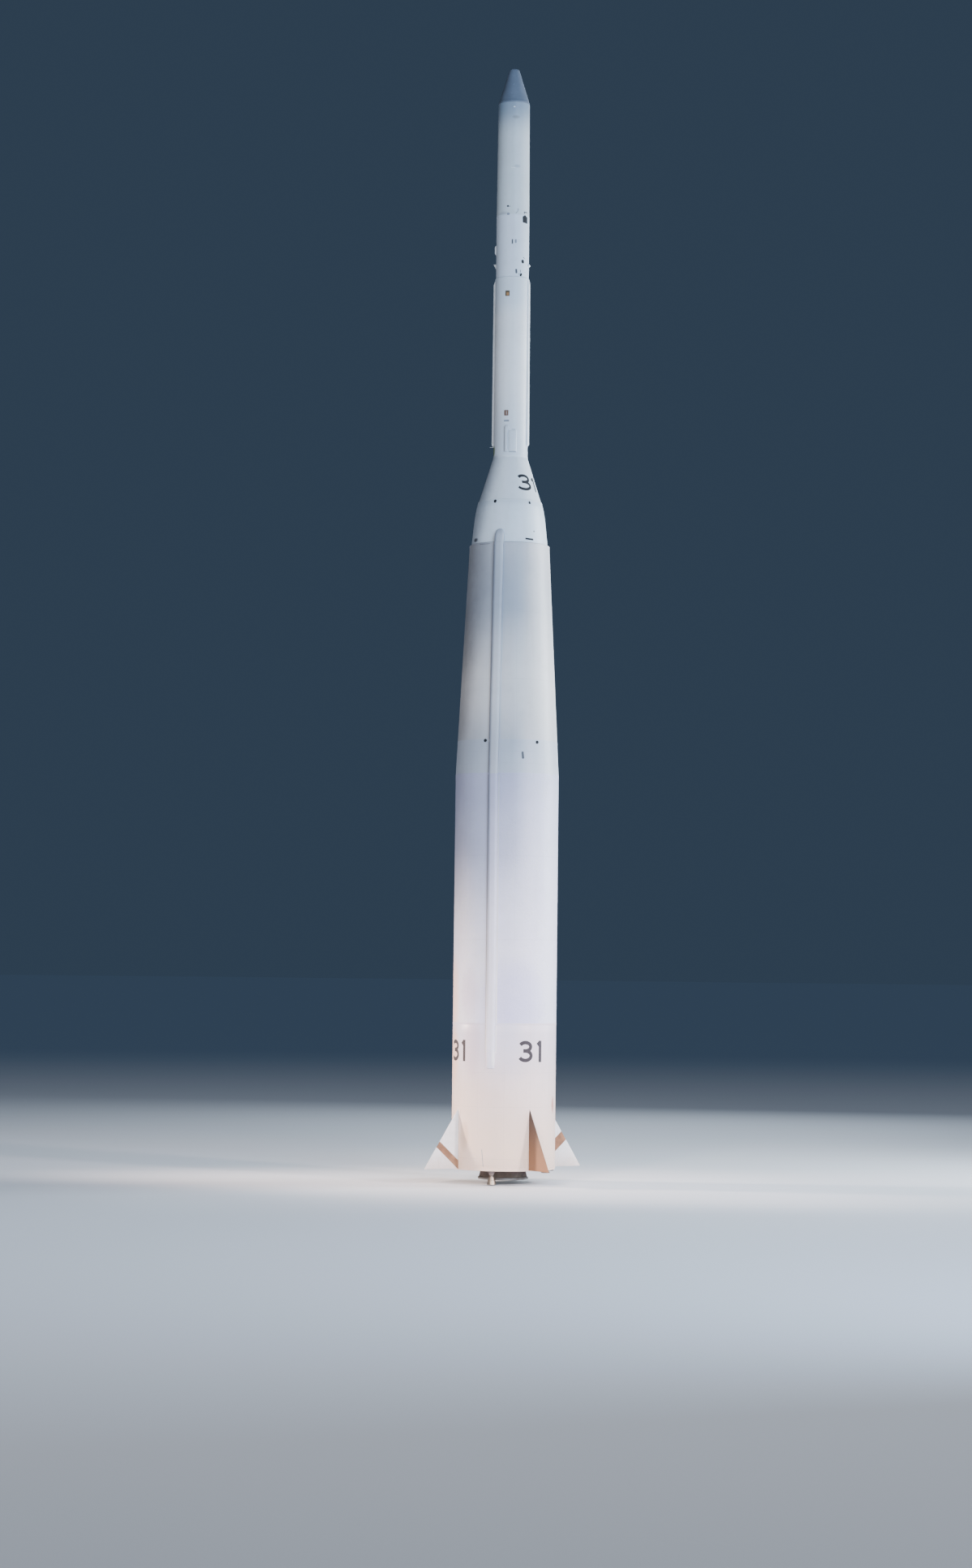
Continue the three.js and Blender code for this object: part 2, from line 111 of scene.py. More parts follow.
# Camera, read from the photograph: 1198 x 1932 pixels, about 80 m away
CAMERA_AZIMUTH = 15.0
CAMERA_DISTANCE = 80.5
CAMERA_HEIGHT = 4.88
CAMERA_PITCH = 2.99
CAMERA_YAW = 0.355
CAMERA_ROLL = 0.62
FOCAL_PIXELS = 4190.0
IMAGE_HEIGHT = 1932.0
SENSOR = 36.0


def make_camera():
    """A level camera at its azimuth and distance, then turned by yaw, pitch and roll."""
    data = bpy.data.cameras.new("camera")
    data.sensor_width = SENSOR
    data.lens = FOCAL_PIXELS / IMAGE_HEIGHT * SENSOR
    data.clip_start, data.clip_end = 1.0, 2000.0
    place = Matrix.Translation(Vector(turned(CAMERA_AZIMUTH, CAMERA_DISTANCE, 0.0, CAMERA_HEIGHT)))
    turn = Matrix.Rotation(math.radians(CAMERA_AZIMUTH + CAMERA_YAW), 4, "Z")
    tilt = Matrix.Rotation(math.radians(90.0 + CAMERA_PITCH), 4, "X")
    roll = Matrix.Rotation(math.radians(CAMERA_ROLL), 4, "Z")
    camera = placed("camera", data)
    camera.matrix_world = place @ turn @ tilt @ roll
    bpy.context.scene.camera = camera


make_camera()


# Shapes: each is (points, faces), faces a list of index arrays with 3 or 4 columns

def grid_faces(rows, cols, wrap_rows=False):
    """Quads that join each grid point with the next, round every row, and round all rows if they wrap."""
    i, j = np.meshgrid(np.arange(rows if wrap_rows else rows - 1), np.arange(cols), indexing="ij")
    i, j = i.ravel(), j.ravel()
    i1, j1 = (i + 1) % rows, (j + 1) % cols
    return np.stack([i * cols + j, i * cols + j1, i1 * cols + j1, i1 * cols + j], axis=1)


def outward(points, faces):
    """The shape with its faces outward: the signed volume of the cones from its middle is made positive."""
    total = 0.0
    centre = points.mean(axis=0)
    for f in faces:
        a = points[f[:, 0]] - centre
        for k in range(1, f.shape[1] - 1):
            b, c = points[f[:, k]] - centre, points[f[:, k + 1]] - centre
            total += np.einsum("ij,ij->i", a, np.cross(b, c)).sum()
    return points, faces if total > 0 else [f[:, ::-1] for f in faces]


def merge(shapes):
    """Several shapes as one, each one's indices moved up by the points before it."""
    points, faces, base = [], [], 0
    for p, fs in shapes:
        points.append(p)
        faces += [f + base for f in fs]
        base += len(p)
    return np.concatenate(points), faces


def capped(rings, low, high):
    """A skin over closed outlines: a grid over ring and point, each end closed by a fan to a point."""
    m, n = rings.shape[:2]
    j = np.arange(n)
    ahead, last = (j + 1) % n, (m - 1) * n
    fans = [np.stack([np.full(n, m * n), ahead, j], axis=1),
            np.stack([np.full(n, m * n + 1), last + j, last + ahead], axis=1)]
    return outward(np.concatenate([rings.reshape(-1, 3), [low, high]]), [grid_faces(m, n), *fans])


def loft(rings):
    """Closed outlines joined into one skin, its ends closed by fans to their middles."""
    rings = np.asarray(rings, float)
    return capped(rings, rings[0].mean(axis=0), rings[-1].mean(axis=0))


def lathe(profile, sides, ripple=None, centre=(0.0, AXIS_Y)):
    """A profile of (radius, height) turned about an upright axis: x = r sin a, y = -r cos a, z = h.
    A profile whose ends lie on the axis gets a pole at each end, any other is a closed loop.
    ripple(a, r, h) gives what is added to the radius."""
    profile = np.asarray(profile, float)
    poles = profile[0, 0] < 1e-9 and profile[-1, 0] < 1e-9
    body = profile[1:-1] if poles else profile
    a = np.linspace(0.0, 2.0 * math.pi, sides, endpoint=False)[None, :]
    r, h = body[:, 0:1], body[:, 1:2]
    radius = r + (ripple(a, r, h) if ripple else 0.0 * a)
    grid = np.stack([centre[0] + radius * np.sin(a), centre[1] - radius * np.cos(a), h + 0.0 * a], axis=2)
    if poles:
        return capped(grid, (*centre, profile[0, 1]), (*centre, profile[-1, 1]))
    return outward(grid.reshape(-1, 3), [grid_faces(len(body), sides, wrap_rows=True)])


def on_wall(across, height, out, azimuth):
    """Points laid on the wall: angle = azimuth + across / wall radius, radius = wall radius + out."""
    r = wall_r(height)
    return turned(azimuth + np.degrees(across / r), r + out, 0.0, height)


def spread(path, step, closed=False):
    """A path, open or closed, with points added evenly between its corners, so that it can bend."""
    path = np.asarray(path, float)
    out = []
    for p, q in zip(path, np.roll(path, -1, axis=0) if closed else path[1:]):
        n = max(1, int(np.linalg.norm(q - p) / step))
        out.append(p + (q - p) * np.linspace(0.0, 1.0, n, endpoint=False)[:, None])
    return np.concatenate(out if closed else out + [path[-1:]])


def oblong(width, tall, corner, tilt=0.0, step=0.04):
    """Outline of a rectangle with round corners, turned by a tilt: four quarter circles set in from its
    corners, and points added evenly between them."""
    quarters = []
    for k, (sx, sy) in enumerate([(1, 1), (-1, 1), (-1, -1), (1, -1)]):
        t = np.linspace(0.0, math.pi / 2, 5) + k * math.pi / 2
        quarters.append(np.stack([sx * (width / 2 - corner) + corner * np.cos(t),
                                  sy * (tall / 2 - corner) + corner * np.sin(t)], axis=1))
    c, s = math.cos(math.radians(tilt)), math.sin(math.radians(tilt))
    return spread(np.concatenate(quarters), step, closed=True) @ np.array([(c, s), (-s, c)])


def plate(azimuth, height, outline, thick, edge=0.002):
    """A raised plate that follows the wall: its outline from below the wall up, drawn in over a rounded edge,
    then inward in steps to its middle."""
    size = np.abs(outline).max(axis=0)
    rows = [(outline, -ROOT), (outline, thick - edge)]
    for turn in (math.pi / 4, math.pi / 2):
        shrink = 1.0 - edge * (1.0 - math.cos(turn)) / size
        rows.append((outline * shrink, thick - edge * (1.0 - math.sin(turn))))
    rows += [(outline * s, thick) for s in (0.72, 0.45, 0.18)]
    return loft([on_wall(o[:, 0], height + o[:, 1], rise, azimuth) for o, rise in rows])


def ribbon(path, width, thick, azimuth, height):
    """A painted stroke on the wall: a flat strip along a path of (across, up), its sides square to the path's
    mean direction, with mitred bends."""
    step = np.diff(path, axis=0)
    step /= np.linalg.norm(step, axis=1)[:, None]
    way = np.concatenate([step[:1], step[:-1] + step[1:], step[-1:]])
    way /= np.linalg.norm(way, axis=1)[:, None]
    first = np.concatenate([step[:1], step])
    mitre = 1.0 / np.maximum(np.einsum("ij,ij->i", way, first), 0.45)
    side = np.stack([-way[:, 1], way[:, 0]], axis=1) * (mitre * width / 2)[:, None]
    rings = []
    for offset, rise in ((-1, -0.002), (-1, thick), (-0.33, thick), (0.33, thick), (1, thick), (1, -0.002)):
        p = path + side * offset
        rings.append(on_wall(p[:, 0], height + p[:, 1], rise, azimuth))
    return loft(np.stack(rings, axis=1))


def circle(sides, r=1.0):
    """Points round a circle, as (x, y)."""
    t = np.linspace(0.0, 2.0 * math.pi, sides, endpoint=False)
    return r * np.stack([np.cos(t), np.sin(t)], axis=1)


def pipe(path, radius, sides=16):
    """A round pipe along a path of points: circles square to the path, their frame carried along it."""
    path = np.asarray(path, float)
    way = np.gradient(path, axis=0)
    way /= np.linalg.norm(way, axis=1)[:, None]
    normal = np.cross(way[0], (0.0, 0.0, 1.0) if abs(way[0][2]) < 0.9 else (1.0, 0.0, 0.0))
    rings = []
    for p, w, r in zip(path, way, np.broadcast_to(radius, len(path))):
        normal = normal - w * normal.dot(w)
        normal /= np.linalg.norm(normal)
        rings.append(p + circle(sides, r) @ np.stack([normal, np.cross(w, normal)]))
    return loft(rings)


def bar(low_r, high_r, height, half, thick, soft, peak=()):
    """Section of a bar laid round a wall, as (radius, height): its outer edges are drawn in by soft."""
    low, high = height - half, height + half
    return [(low_r - ROOT, low), (low_r + thick - soft, low), (low_r + thick, low + soft), *peak,
            (high_r + thick, high - soft), (high_r + thick - soft, high), (high_r - ROOT, high)]


def hoop(r, height, half, thick, centre, sides):
    """A raised band round a straight drum: a low rounded bar section turned about its axis."""
    return lathe(bar(r, r, height, half, thick, min(half, thick) * 0.3), sides, centre=centre)


# Heads as rings of (share of the radius, share of the height)
ROUND_HEAD = ((1.0, -0.3), (1.0, 0.35), (0.7, 0.85))
BOLT_HEAD = ((1.0, -0.3), (1.0, 0.8), (0.86, 1.0))


def heads(rings, radius, tall, azimuth, height):
    """Six-sided rivet, screw or bolt heads on the wall, one for each azimuth and height: a head's x runs
    across, its y up and its z outward, and its indices move up by the heads before it."""
    rows = [np.column_stack([circle(6, radius * s), np.full(6, tall * h)]) for s, h in rings]
    p, faces = capped(np.stack(rows), (0.0, 0.0, tall * rings[0][1]), (0.0, 0.0, tall))
    azimuth, height = (v.reshape(-1, 1) for v in np.broadcast_arrays(azimuth, height))
    points = turned(azimuth, wall_r(height) + p[:, 2], p[:, 0], height + p[:, 1])
    steps = (np.arange(len(azimuth)) * len(p))[:, None, None]
    return points.reshape(-1, 3), [(f + steps).reshape(-1, f.shape[1]) for f in faces]


def carried(outline, y, rows):
    """A skin along Y round an outline of (x, z): for each (way from y, scale) a ring about its middle."""
    middle = outline.mean(axis=0)
    rings = []
    for way, s in rows:
        o = middle + (outline - middle) * s
        rings.append(np.column_stack([o[:, 0], np.full(len(o), y + way), o[:, 1]]))
    return loft(rings)


def piece(name, shapes, finish, node=None, body="airframe", crease=34.0):
    """A finished piece from one or more shapes: smooth faces with creases kept, riding on a body. It stands
    for a CAD node if one is named, and takes its finish's material."""
    points, faces = merge(shapes if isinstance(shapes, list) else [shapes])
    mesh = bpy.data.meshes.new(name)
    corners = np.concatenate([f.ravel() for f in faces])
    sizes = np.concatenate([np.full(len(f), f.shape[1]) for f in faces])
    mesh.vertices.add(len(points))
    mesh.vertices.foreach_set("co", points.ravel().astype(np.float32))
    mesh.loops.add(len(corners))
    mesh.loops.foreach_set("vertex_index", corners.astype(np.int32))
    mesh.polygons.add(len(sizes))
    mesh.polygons.foreach_set("loop_start", (np.cumsum(sizes) - sizes).astype(np.int32))
    mesh.update(calc_edges=True)
    mesh.polygons.foreach_set("use_smooth", np.ones(len(sizes), bool))
    mesh.set_sharp_from_angle(angle=math.radians(crease))
    mesh.validate()
    mesh.materials.append(FINISHES[finish])
    made = placed(name, mesh)
    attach(made, body)
    if node:
        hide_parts(node)


# Materials

class Wire:
    """A node's output that Python arithmetic turns into Math nodes."""

    def __init__(self, finish, socket):
        self.finish, self.socket = finish, socket

    def math(self, operation, *values):
        return self.finish.node("ShaderNodeMath", {"operation": operation}, values)

    def __add__(self, other):
        return self.math("ADD", self, other)

    def __radd__(self, other):
        return self.math("ADD", other, self)

    def __sub__(self, other):
        return self.math("SUBTRACT", self, other)

    def __rsub__(self, other):
        return self.math("SUBTRACT", other, self)

    def __mul__(self, other):
        return self.math("MULTIPLY", self, other)

    def __truediv__(self, other):
        return self.math("DIVIDE", self, other)

    def __abs__(self):
        return self.math("ABSOLUTE", self)

    def most(self, other):
        return self.math("MAXIMUM", self, other)

    def ramp(self, low, high, at_low=0.0, at_high=1.0):
        """Smooth step from at_low to at_high as the value goes from low to high."""
        return self.finish.node("ShaderNodeMapRange", {"interpolation_type": "SMOOTHSTEP"},
                                (self, low, high, at_low, at_high))

    def near(self, target, half):
        """1 at the target, 0 from half a width away."""
        return abs(self - target).ramp(0.0, half, 1.0, 0.0)


class Finish:
    """A procedural material on Object coordinates, measured from the rocket's own axis."""

    def __init__(self, name):
        self.material = bpy.data.materials.new(name)
        self.material.use_nodes = True
        self.tree = self.material.node_tree
        self.tree.nodes.clear()
        self.shader = self.tree.nodes.new("ShaderNodeBsdfPrincipled")
        surface = self.tree.nodes.new("ShaderNodeOutputMaterial")
        self.tree.links.new(self.shader.outputs[0], surface.inputs[0])
        here = self.node("ShaderNodeTexCoord", out="Object")
        self.place = self.node("ShaderNodeMapping", None, {"Vector": here, "Location": (0.0, -AXIS_Y, 0.0)})
        parts = [self.node("ShaderNodeSeparateXYZ", None, (self.place,), k) for k in range(3)]
        self.x, self.y, self.z = parts

    def node(self, kind, settings=None, values=(), out=0):
        """A node of this kind: its settings first, then its sockets' values or links."""
        made = self.tree.nodes.new(kind)
        for key, value in (settings or {}).items():
            setattr(made, key, value)
        for key, value in (values.items() if isinstance(values, dict) else enumerate(values)):
            if isinstance(value, Wire):
                self.tree.links.new(value.socket, made.inputs[key])
            else:
                made.inputs[key].default_value = value
        return Wire(self, made.outputs[out])

    def done(self, relief=None, depth=0.0, **values):
        """The material, once its shader's sockets have their values or links, by name with underscores for
        spaces, and any relief as bump of this depth."""
        if relief is not None:
            bump = {"Height": relief, "Distance": depth, "Strength": 1.0}
            values["Normal"] = self.node("ShaderNodeBump", None, bump)
        for key, value in values.items():
            socket = self.shader.inputs[key.replace("_", " ")]
            if isinstance(value, Wire):
                self.tree.links.new(value.socket, socket)
            else:
                socket.default_value = value
        return self.material

    def mix(self, factor, first, second):
        """Colour between first and second."""
        colours = [v if isinstance(v, Wire) else (*v, 1.0) for v in (first, second)]
        return self.node("ShaderNodeMix", {"data_type": "RGBA"}, {0: factor, 6: colours[0], 7: colours[1]}, 2)

    def noise(self, scale, detail=3.0, rough=0.55, stretch=None):
        """Noise, run long along an axis where its stretch is small."""
        where = self.place
        if stretch:
            where = self.node("ShaderNodeMapping", None, {"Vector": where, "Scale": stretch})
        return self.node("ShaderNodeTexNoise", None,
                         {"Vector": where, "Scale": scale, "Detail": detail, "Roughness": rough})

    def outward(self, azimuth):
        """Distance from the axis towards an azimuth."""
        a = math.radians(azimuth)
        return self.x * math.sin(a) - self.y * math.cos(a)

    def oval(self, azimuth, height, wide, tall):
        """A soft spot on the wall: 1 at its middle, 0 where (across / wide)^2 + (up / tall)^2 reaches 1."""
        a = math.radians(azimuth)
        across = (self.x * math.cos(a) + self.y * math.sin(a)) / wide
        up = (self.z - height) / tall
        return (across * across + up * up).ramp(0.0, 1.0, 1.0, 0.0) * self.outward(azimuth).ramp(0.0, 0.05)

    def spokes(self, count, radius, start, half):
        """Upright lines at even angles round the axis: 1 on a line, 0 from half a width away."""
        angle = self.node("ShaderNodeMath", {"operation": "ARCTAN2"}, (self.x, self.y * -1.0))
        turn = angle * (count / (2.0 * math.pi)) + (0.5 + 100.0 - start * count / 360.0)
        part = turn.math("FRACT", turn) - 0.5
        return abs(part * (2.0 * math.pi * radius / count)).ramp(0.0, half, 1.0, 0.0)


def rgb(r, g, b):
    """A colour from its display values, 0 to 255."""
    return tuple(((v / 255.0 + 0.055) / 1.055) ** 2.4 if v > 10 else v / 255.0 / 12.92 for v in (r, g, b))


def painted(name, colour, dirt=0.5, seams=(), lines=None, warm=0.0, frost=0.0, tones=(), shade_to=None,
            flank=None, stains_and_painted_light=()):
    """Weathered enamel: mottled colour, long upright run marks, a warm painted glow of the exhaust flame low
    down, fine seams and panel lines, an amount of a second colour that follows the height by smooth steps
    from row to row of tones as painted shade, weaker on the lit +X side, a painted shadow on the -X flank of
    a cable tunnel that fades to its foot, and soft oval spots of stain, painted shade and painted glow."""
    f = Finish(name)
    broad = f.noise(0.9, 3.0, 0.5)
    cloud = f.noise(6.0, 4.0, 0.6)
    runs = f.noise(5.0, 4.0, 0.62, (1.0, 1.0, 0.06))
    fine = f.noise(60.0, 3.0, 0.6)
    shade = tuple(c * 0.80 for c in colour)
    stain = (colour[0] * 0.62, colour[1] * 0.58, colour[2] * 0.52)
    base = f.mix(broad.ramp(0.35, 0.7) * 0.35 + cloud.ramp(0.45, 0.75) * 0.18, colour, shade)
    streak = runs.ramp(0.52, 0.78) * (0.42 * dirt)
    base = f.mix(streak, base, stain)
    base = f.mix(fine.ramp(0.62, 0.8) * 0.16, base, shade)
    # Warm tint towards the foot: painted glow of the exhaust flame
    if warm:
        base = f.mix(f.z.ramp(3.2, 0.2) * (broad * 0.7 + 0.5) * warm, base, rgb(240, 212, 190))
    rough = 0.42 + cloud * 0.12 + streak * 0.3
    relief = broad * 0.5 + cloud * 0.12 + fine * 0.02
    if frost:
        patches = f.noise(2.2, 3.0, 0.5, (1.0, 1.0, 0.4)).ramp(0.3, 0.6)
        crust = f.noise(16.0, 6.0, 0.66).ramp(0.38, 0.72) * patches
        base = f.mix(crust * frost, base, rgb(236, 238, 243))
        rough = rough + crust * (0.35 * frost)
        relief = relief + crust * 0.8
    marks = [f.z.near(height, 0.008) for height in seams]
    if lines:
        marks.append(f.spokes(*lines, 0.008) * 0.7)
    if marks:
        edge = marks[0]
        for mark in marks[1:]:
            edge = edge.most(mark)
        base = f.mix(edge * 0.14, base, (0.16, 0.16, 0.17))
        relief = relief - edge * 0.2
    # Painted shade: a darker second colour by height, weaker on the lit +X side
    if tones:
        amount = tones[0][1]
        for (low, before), (high, after) in zip(tones[:-1], tones[1:]):
            amount = f.z.ramp(low, high, 0.0, after - before) + amount
        base = f.mix(amount * (f.x.ramp(0.42, 0.80, 1.0, 0.45) + (broad - 0.5) * 0.4), base, shade_to)
    # Painted shadow on a tunnel's -X flank, weaker towards its foot
    if flank:
        side = f.x.ramp(-0.020, -0.095) * (broad * 0.3 + 0.5)
        base = f.mix(side * f.z.ramp(2.6, 5.4, 0.25, 1.0), base, flank)
    # Oval spots: real stains, and painted shade and painted glow where they follow the light
    for azimuth, height, wide, tall, tone, strength in stains_and_painted_light:
        spot = f.oval(azimuth, height, wide, tall) * (broad * 0.6 + cloud * 0.4 + 0.5) * strength
        base = f.mix(spot, base, tone)
    return f.done(relief, 0.004, Base_Color=base, Roughness=rough, Metallic=0.0, Coat_Weight=0.12,
                  Coat_Roughness=0.25)


def metal(name, colour, tint, rough=0.38, soot=0.3, metallic=0.9):
    """Bare metal: brushed streaks, heat tint in clouds, soot in patches."""
    f = Finish(name)
    cloud = f.noise(4.9, 4.0, 0.6)
    brush = f.noise(56.0, 3.0, 0.6, (1.0, 1.0, 0.08))
    grain = f.noise(126.0, 2.0, 0.5)
    base = f.mix(cloud.ramp(0.35, 0.7), colour, tint)
    base = f.mix(brush.ramp(0.4, 0.75) * 0.15, base, tuple(c * 0.55 for c in colour))
    black = f.noise(2.8, 5.0, 0.65).ramp(0.45, 0.72) * soot
    base = f.mix(black, base, (0.03, 0.028, 0.026))
    return f.done(brush * 0.35 + grain * 0.15 + cloud * 0.3, 0.0015, Base_Color=base,
                  Roughness=rough + cloud * 0.15 + black * 0.35, Metallic=metallic - black * 0.6)


def flat_paint(name, colour, worn, rough=0.6, scale=30.0, heat=0.0):
    """Matte paint on a small part: cloudy tone, scuffs that show a second colour, fine grain."""
    f = Finish(name)
    cloud = f.noise(scale * 0.2, 4.0, 0.6)
    scuff = f.noise(scale * 1.4, 5.0, 0.68).ramp(0.58, 0.74)
    grain = f.noise(scale * 8.0, 2.0, 0.5)
    base = f.mix(cloud.ramp(0.3, 0.75) * 0.5, colour, tuple(min(1.0, c * 1.5 + 0.01) for c in colour))
    base = f.mix(scuff * 0.45, base, worn)
    # This lighter brown towards the foot is painted glow of the exhaust flame
    if heat:
        base = f.mix(f.z.ramp(1.5, 0.0) * heat, base, rgb(146, 104, 74))
    return f.done(cloud * 0.5 + grain * 0.12, 0.0012, Base_Color=base, Metallic=0.0,
                  Roughness=rough + cloud * 0.2 - scuff * 0.1)


def tag_paint(name, height, frame_colour, middle_colour, wide, tall):
    """A tag plate: one colour round the edge, another in a soft oblong at its middle, both scuffed."""
    f = Finish(name)
    scuff = f.noise(70.0, 4.0, 0.66)
    inside = abs(f.x).ramp(wide + 0.006, wide - 0.006) * abs(f.z - height).ramp(tall + 0.008, tall - 0.008)
    base = f.mix(inside * (0.75 + scuff * 0.3), frame_colour, middle_colour)
    base = f.mix(scuff.ramp(0.52, 0.75) * 0.4, base, tuple(c * 0.5 for c in frame_colour))
    return f.done(scuff, 0.001, Base_Color=base, Roughness=0.5 + scuff * 0.2, Metallic=0.0)


def nozzle_steel():
    """Heat-tinted tube wall: straw, purple, blue and grey up from the exit, and soot in patches."""
    f = Finish("heat_tinted_tubes")
    level = f.z + f.noise(3.0, 4.0, 0.6) * 0.5
    base = f.mix(level.ramp(-0.1, 0.5), (0.35, 0.30, 0.24), (0.33, 0.26, 0.27))
    base = f.mix(level.ramp(0.4, 0.8), base, (0.25, 0.27, 0.33))
    base = f.mix(level.ramp(0.8, 1.3), base, (0.40, 0.39, 0.38))
    grain = f.noise(90.0, 3.0, 0.6)
    soot = f.noise(2.4, 5.0, 0.65).ramp(0.42, 0.7) * 0.55
    base = f.mix(soot, base, (0.035, 0.032, 0.03))
    return f.done(grain, 0.001, Base_Color=base, Roughness=0.34 + grain * 0.16 + soot * 0.3,
                  Metallic=0.92 - soot * 0.6)


STRIPE_ANGLE = 42.0


def striped_fin(name, azimuth, low, high):
    """White fin with one diagonal stripe of black paint, drawn brown as painted glare of the flame on it:
    q = z cos b - (r - root) sin b, brown between two values of q."""
    f = Finish(name)
    b = math.radians(STRIPE_ANGLE)
    q = f.z * math.cos(b) - (f.outward(azimuth) - BODY_R) * math.sin(b)
    cloud = f.noise(5.0, 4.0, 0.6)
    runs = f.noise(16.0, 4.0, 0.62, (1.0, 1.0, 0.1))
    white = f.mix(cloud.ramp(0.35, 0.75) * 0.4, rgb(226, 225, 226), rgb(196, 192, 190))
    white = f.mix(runs.ramp(0.55, 0.8) * 0.35, white, rgb(150, 138, 122))
    brown = f.mix(cloud.ramp(0.4, 0.7), rgb(118, 81, 56), rgb(150, 105, 76))
    stripe = q.ramp(low - 0.004, low + 0.004) * q.ramp(high + 0.004, high - 0.004)
    base = f.mix(stripe, white, brown)
    # Warmer towards the foot: painted glow of the exhaust flame
    base = f.mix(f.z.ramp(0.5, 0.0) * 0.35, base, rgb(176, 140, 108))
    return f.done(cloud * 0.6 + runs * 0.2, 0.002, Base_Color=base, Roughness=0.45 + cloud * 0.2,
                  Coat_Weight=0.08)


# Painted shade: how much of a darker, bluer colour the first stage gets by height, as (height, amount)
FIRST_STAGE = {
    "tones": [(6.2, 0.0), (8.0, 0.35), (9.9, 0.6), (11.2, 0.15), (11.5, 0.1), (13.3, 0.8), (15.1, 0.68)],
    "shade_to": rgb(146, 156, 172),
}
# The same painted shade on the oxidiser tank, darker and bluer higher up
OXIDISER = {"tones": [(5.8, 0.0), (7.9, 0.5), (9.3, 0.66)], "shade_to": rgb(152, 154, 184)}
# Painted shadow on a cable tunnel's -X flank
TUNNEL_FLANK_SHADE = rgb(120, 128, 146)
# Grey of small smudges, and of painted shade on the -X side
GREY_SMUDGE_AND_SHADE = rgb(112, 122, 140)

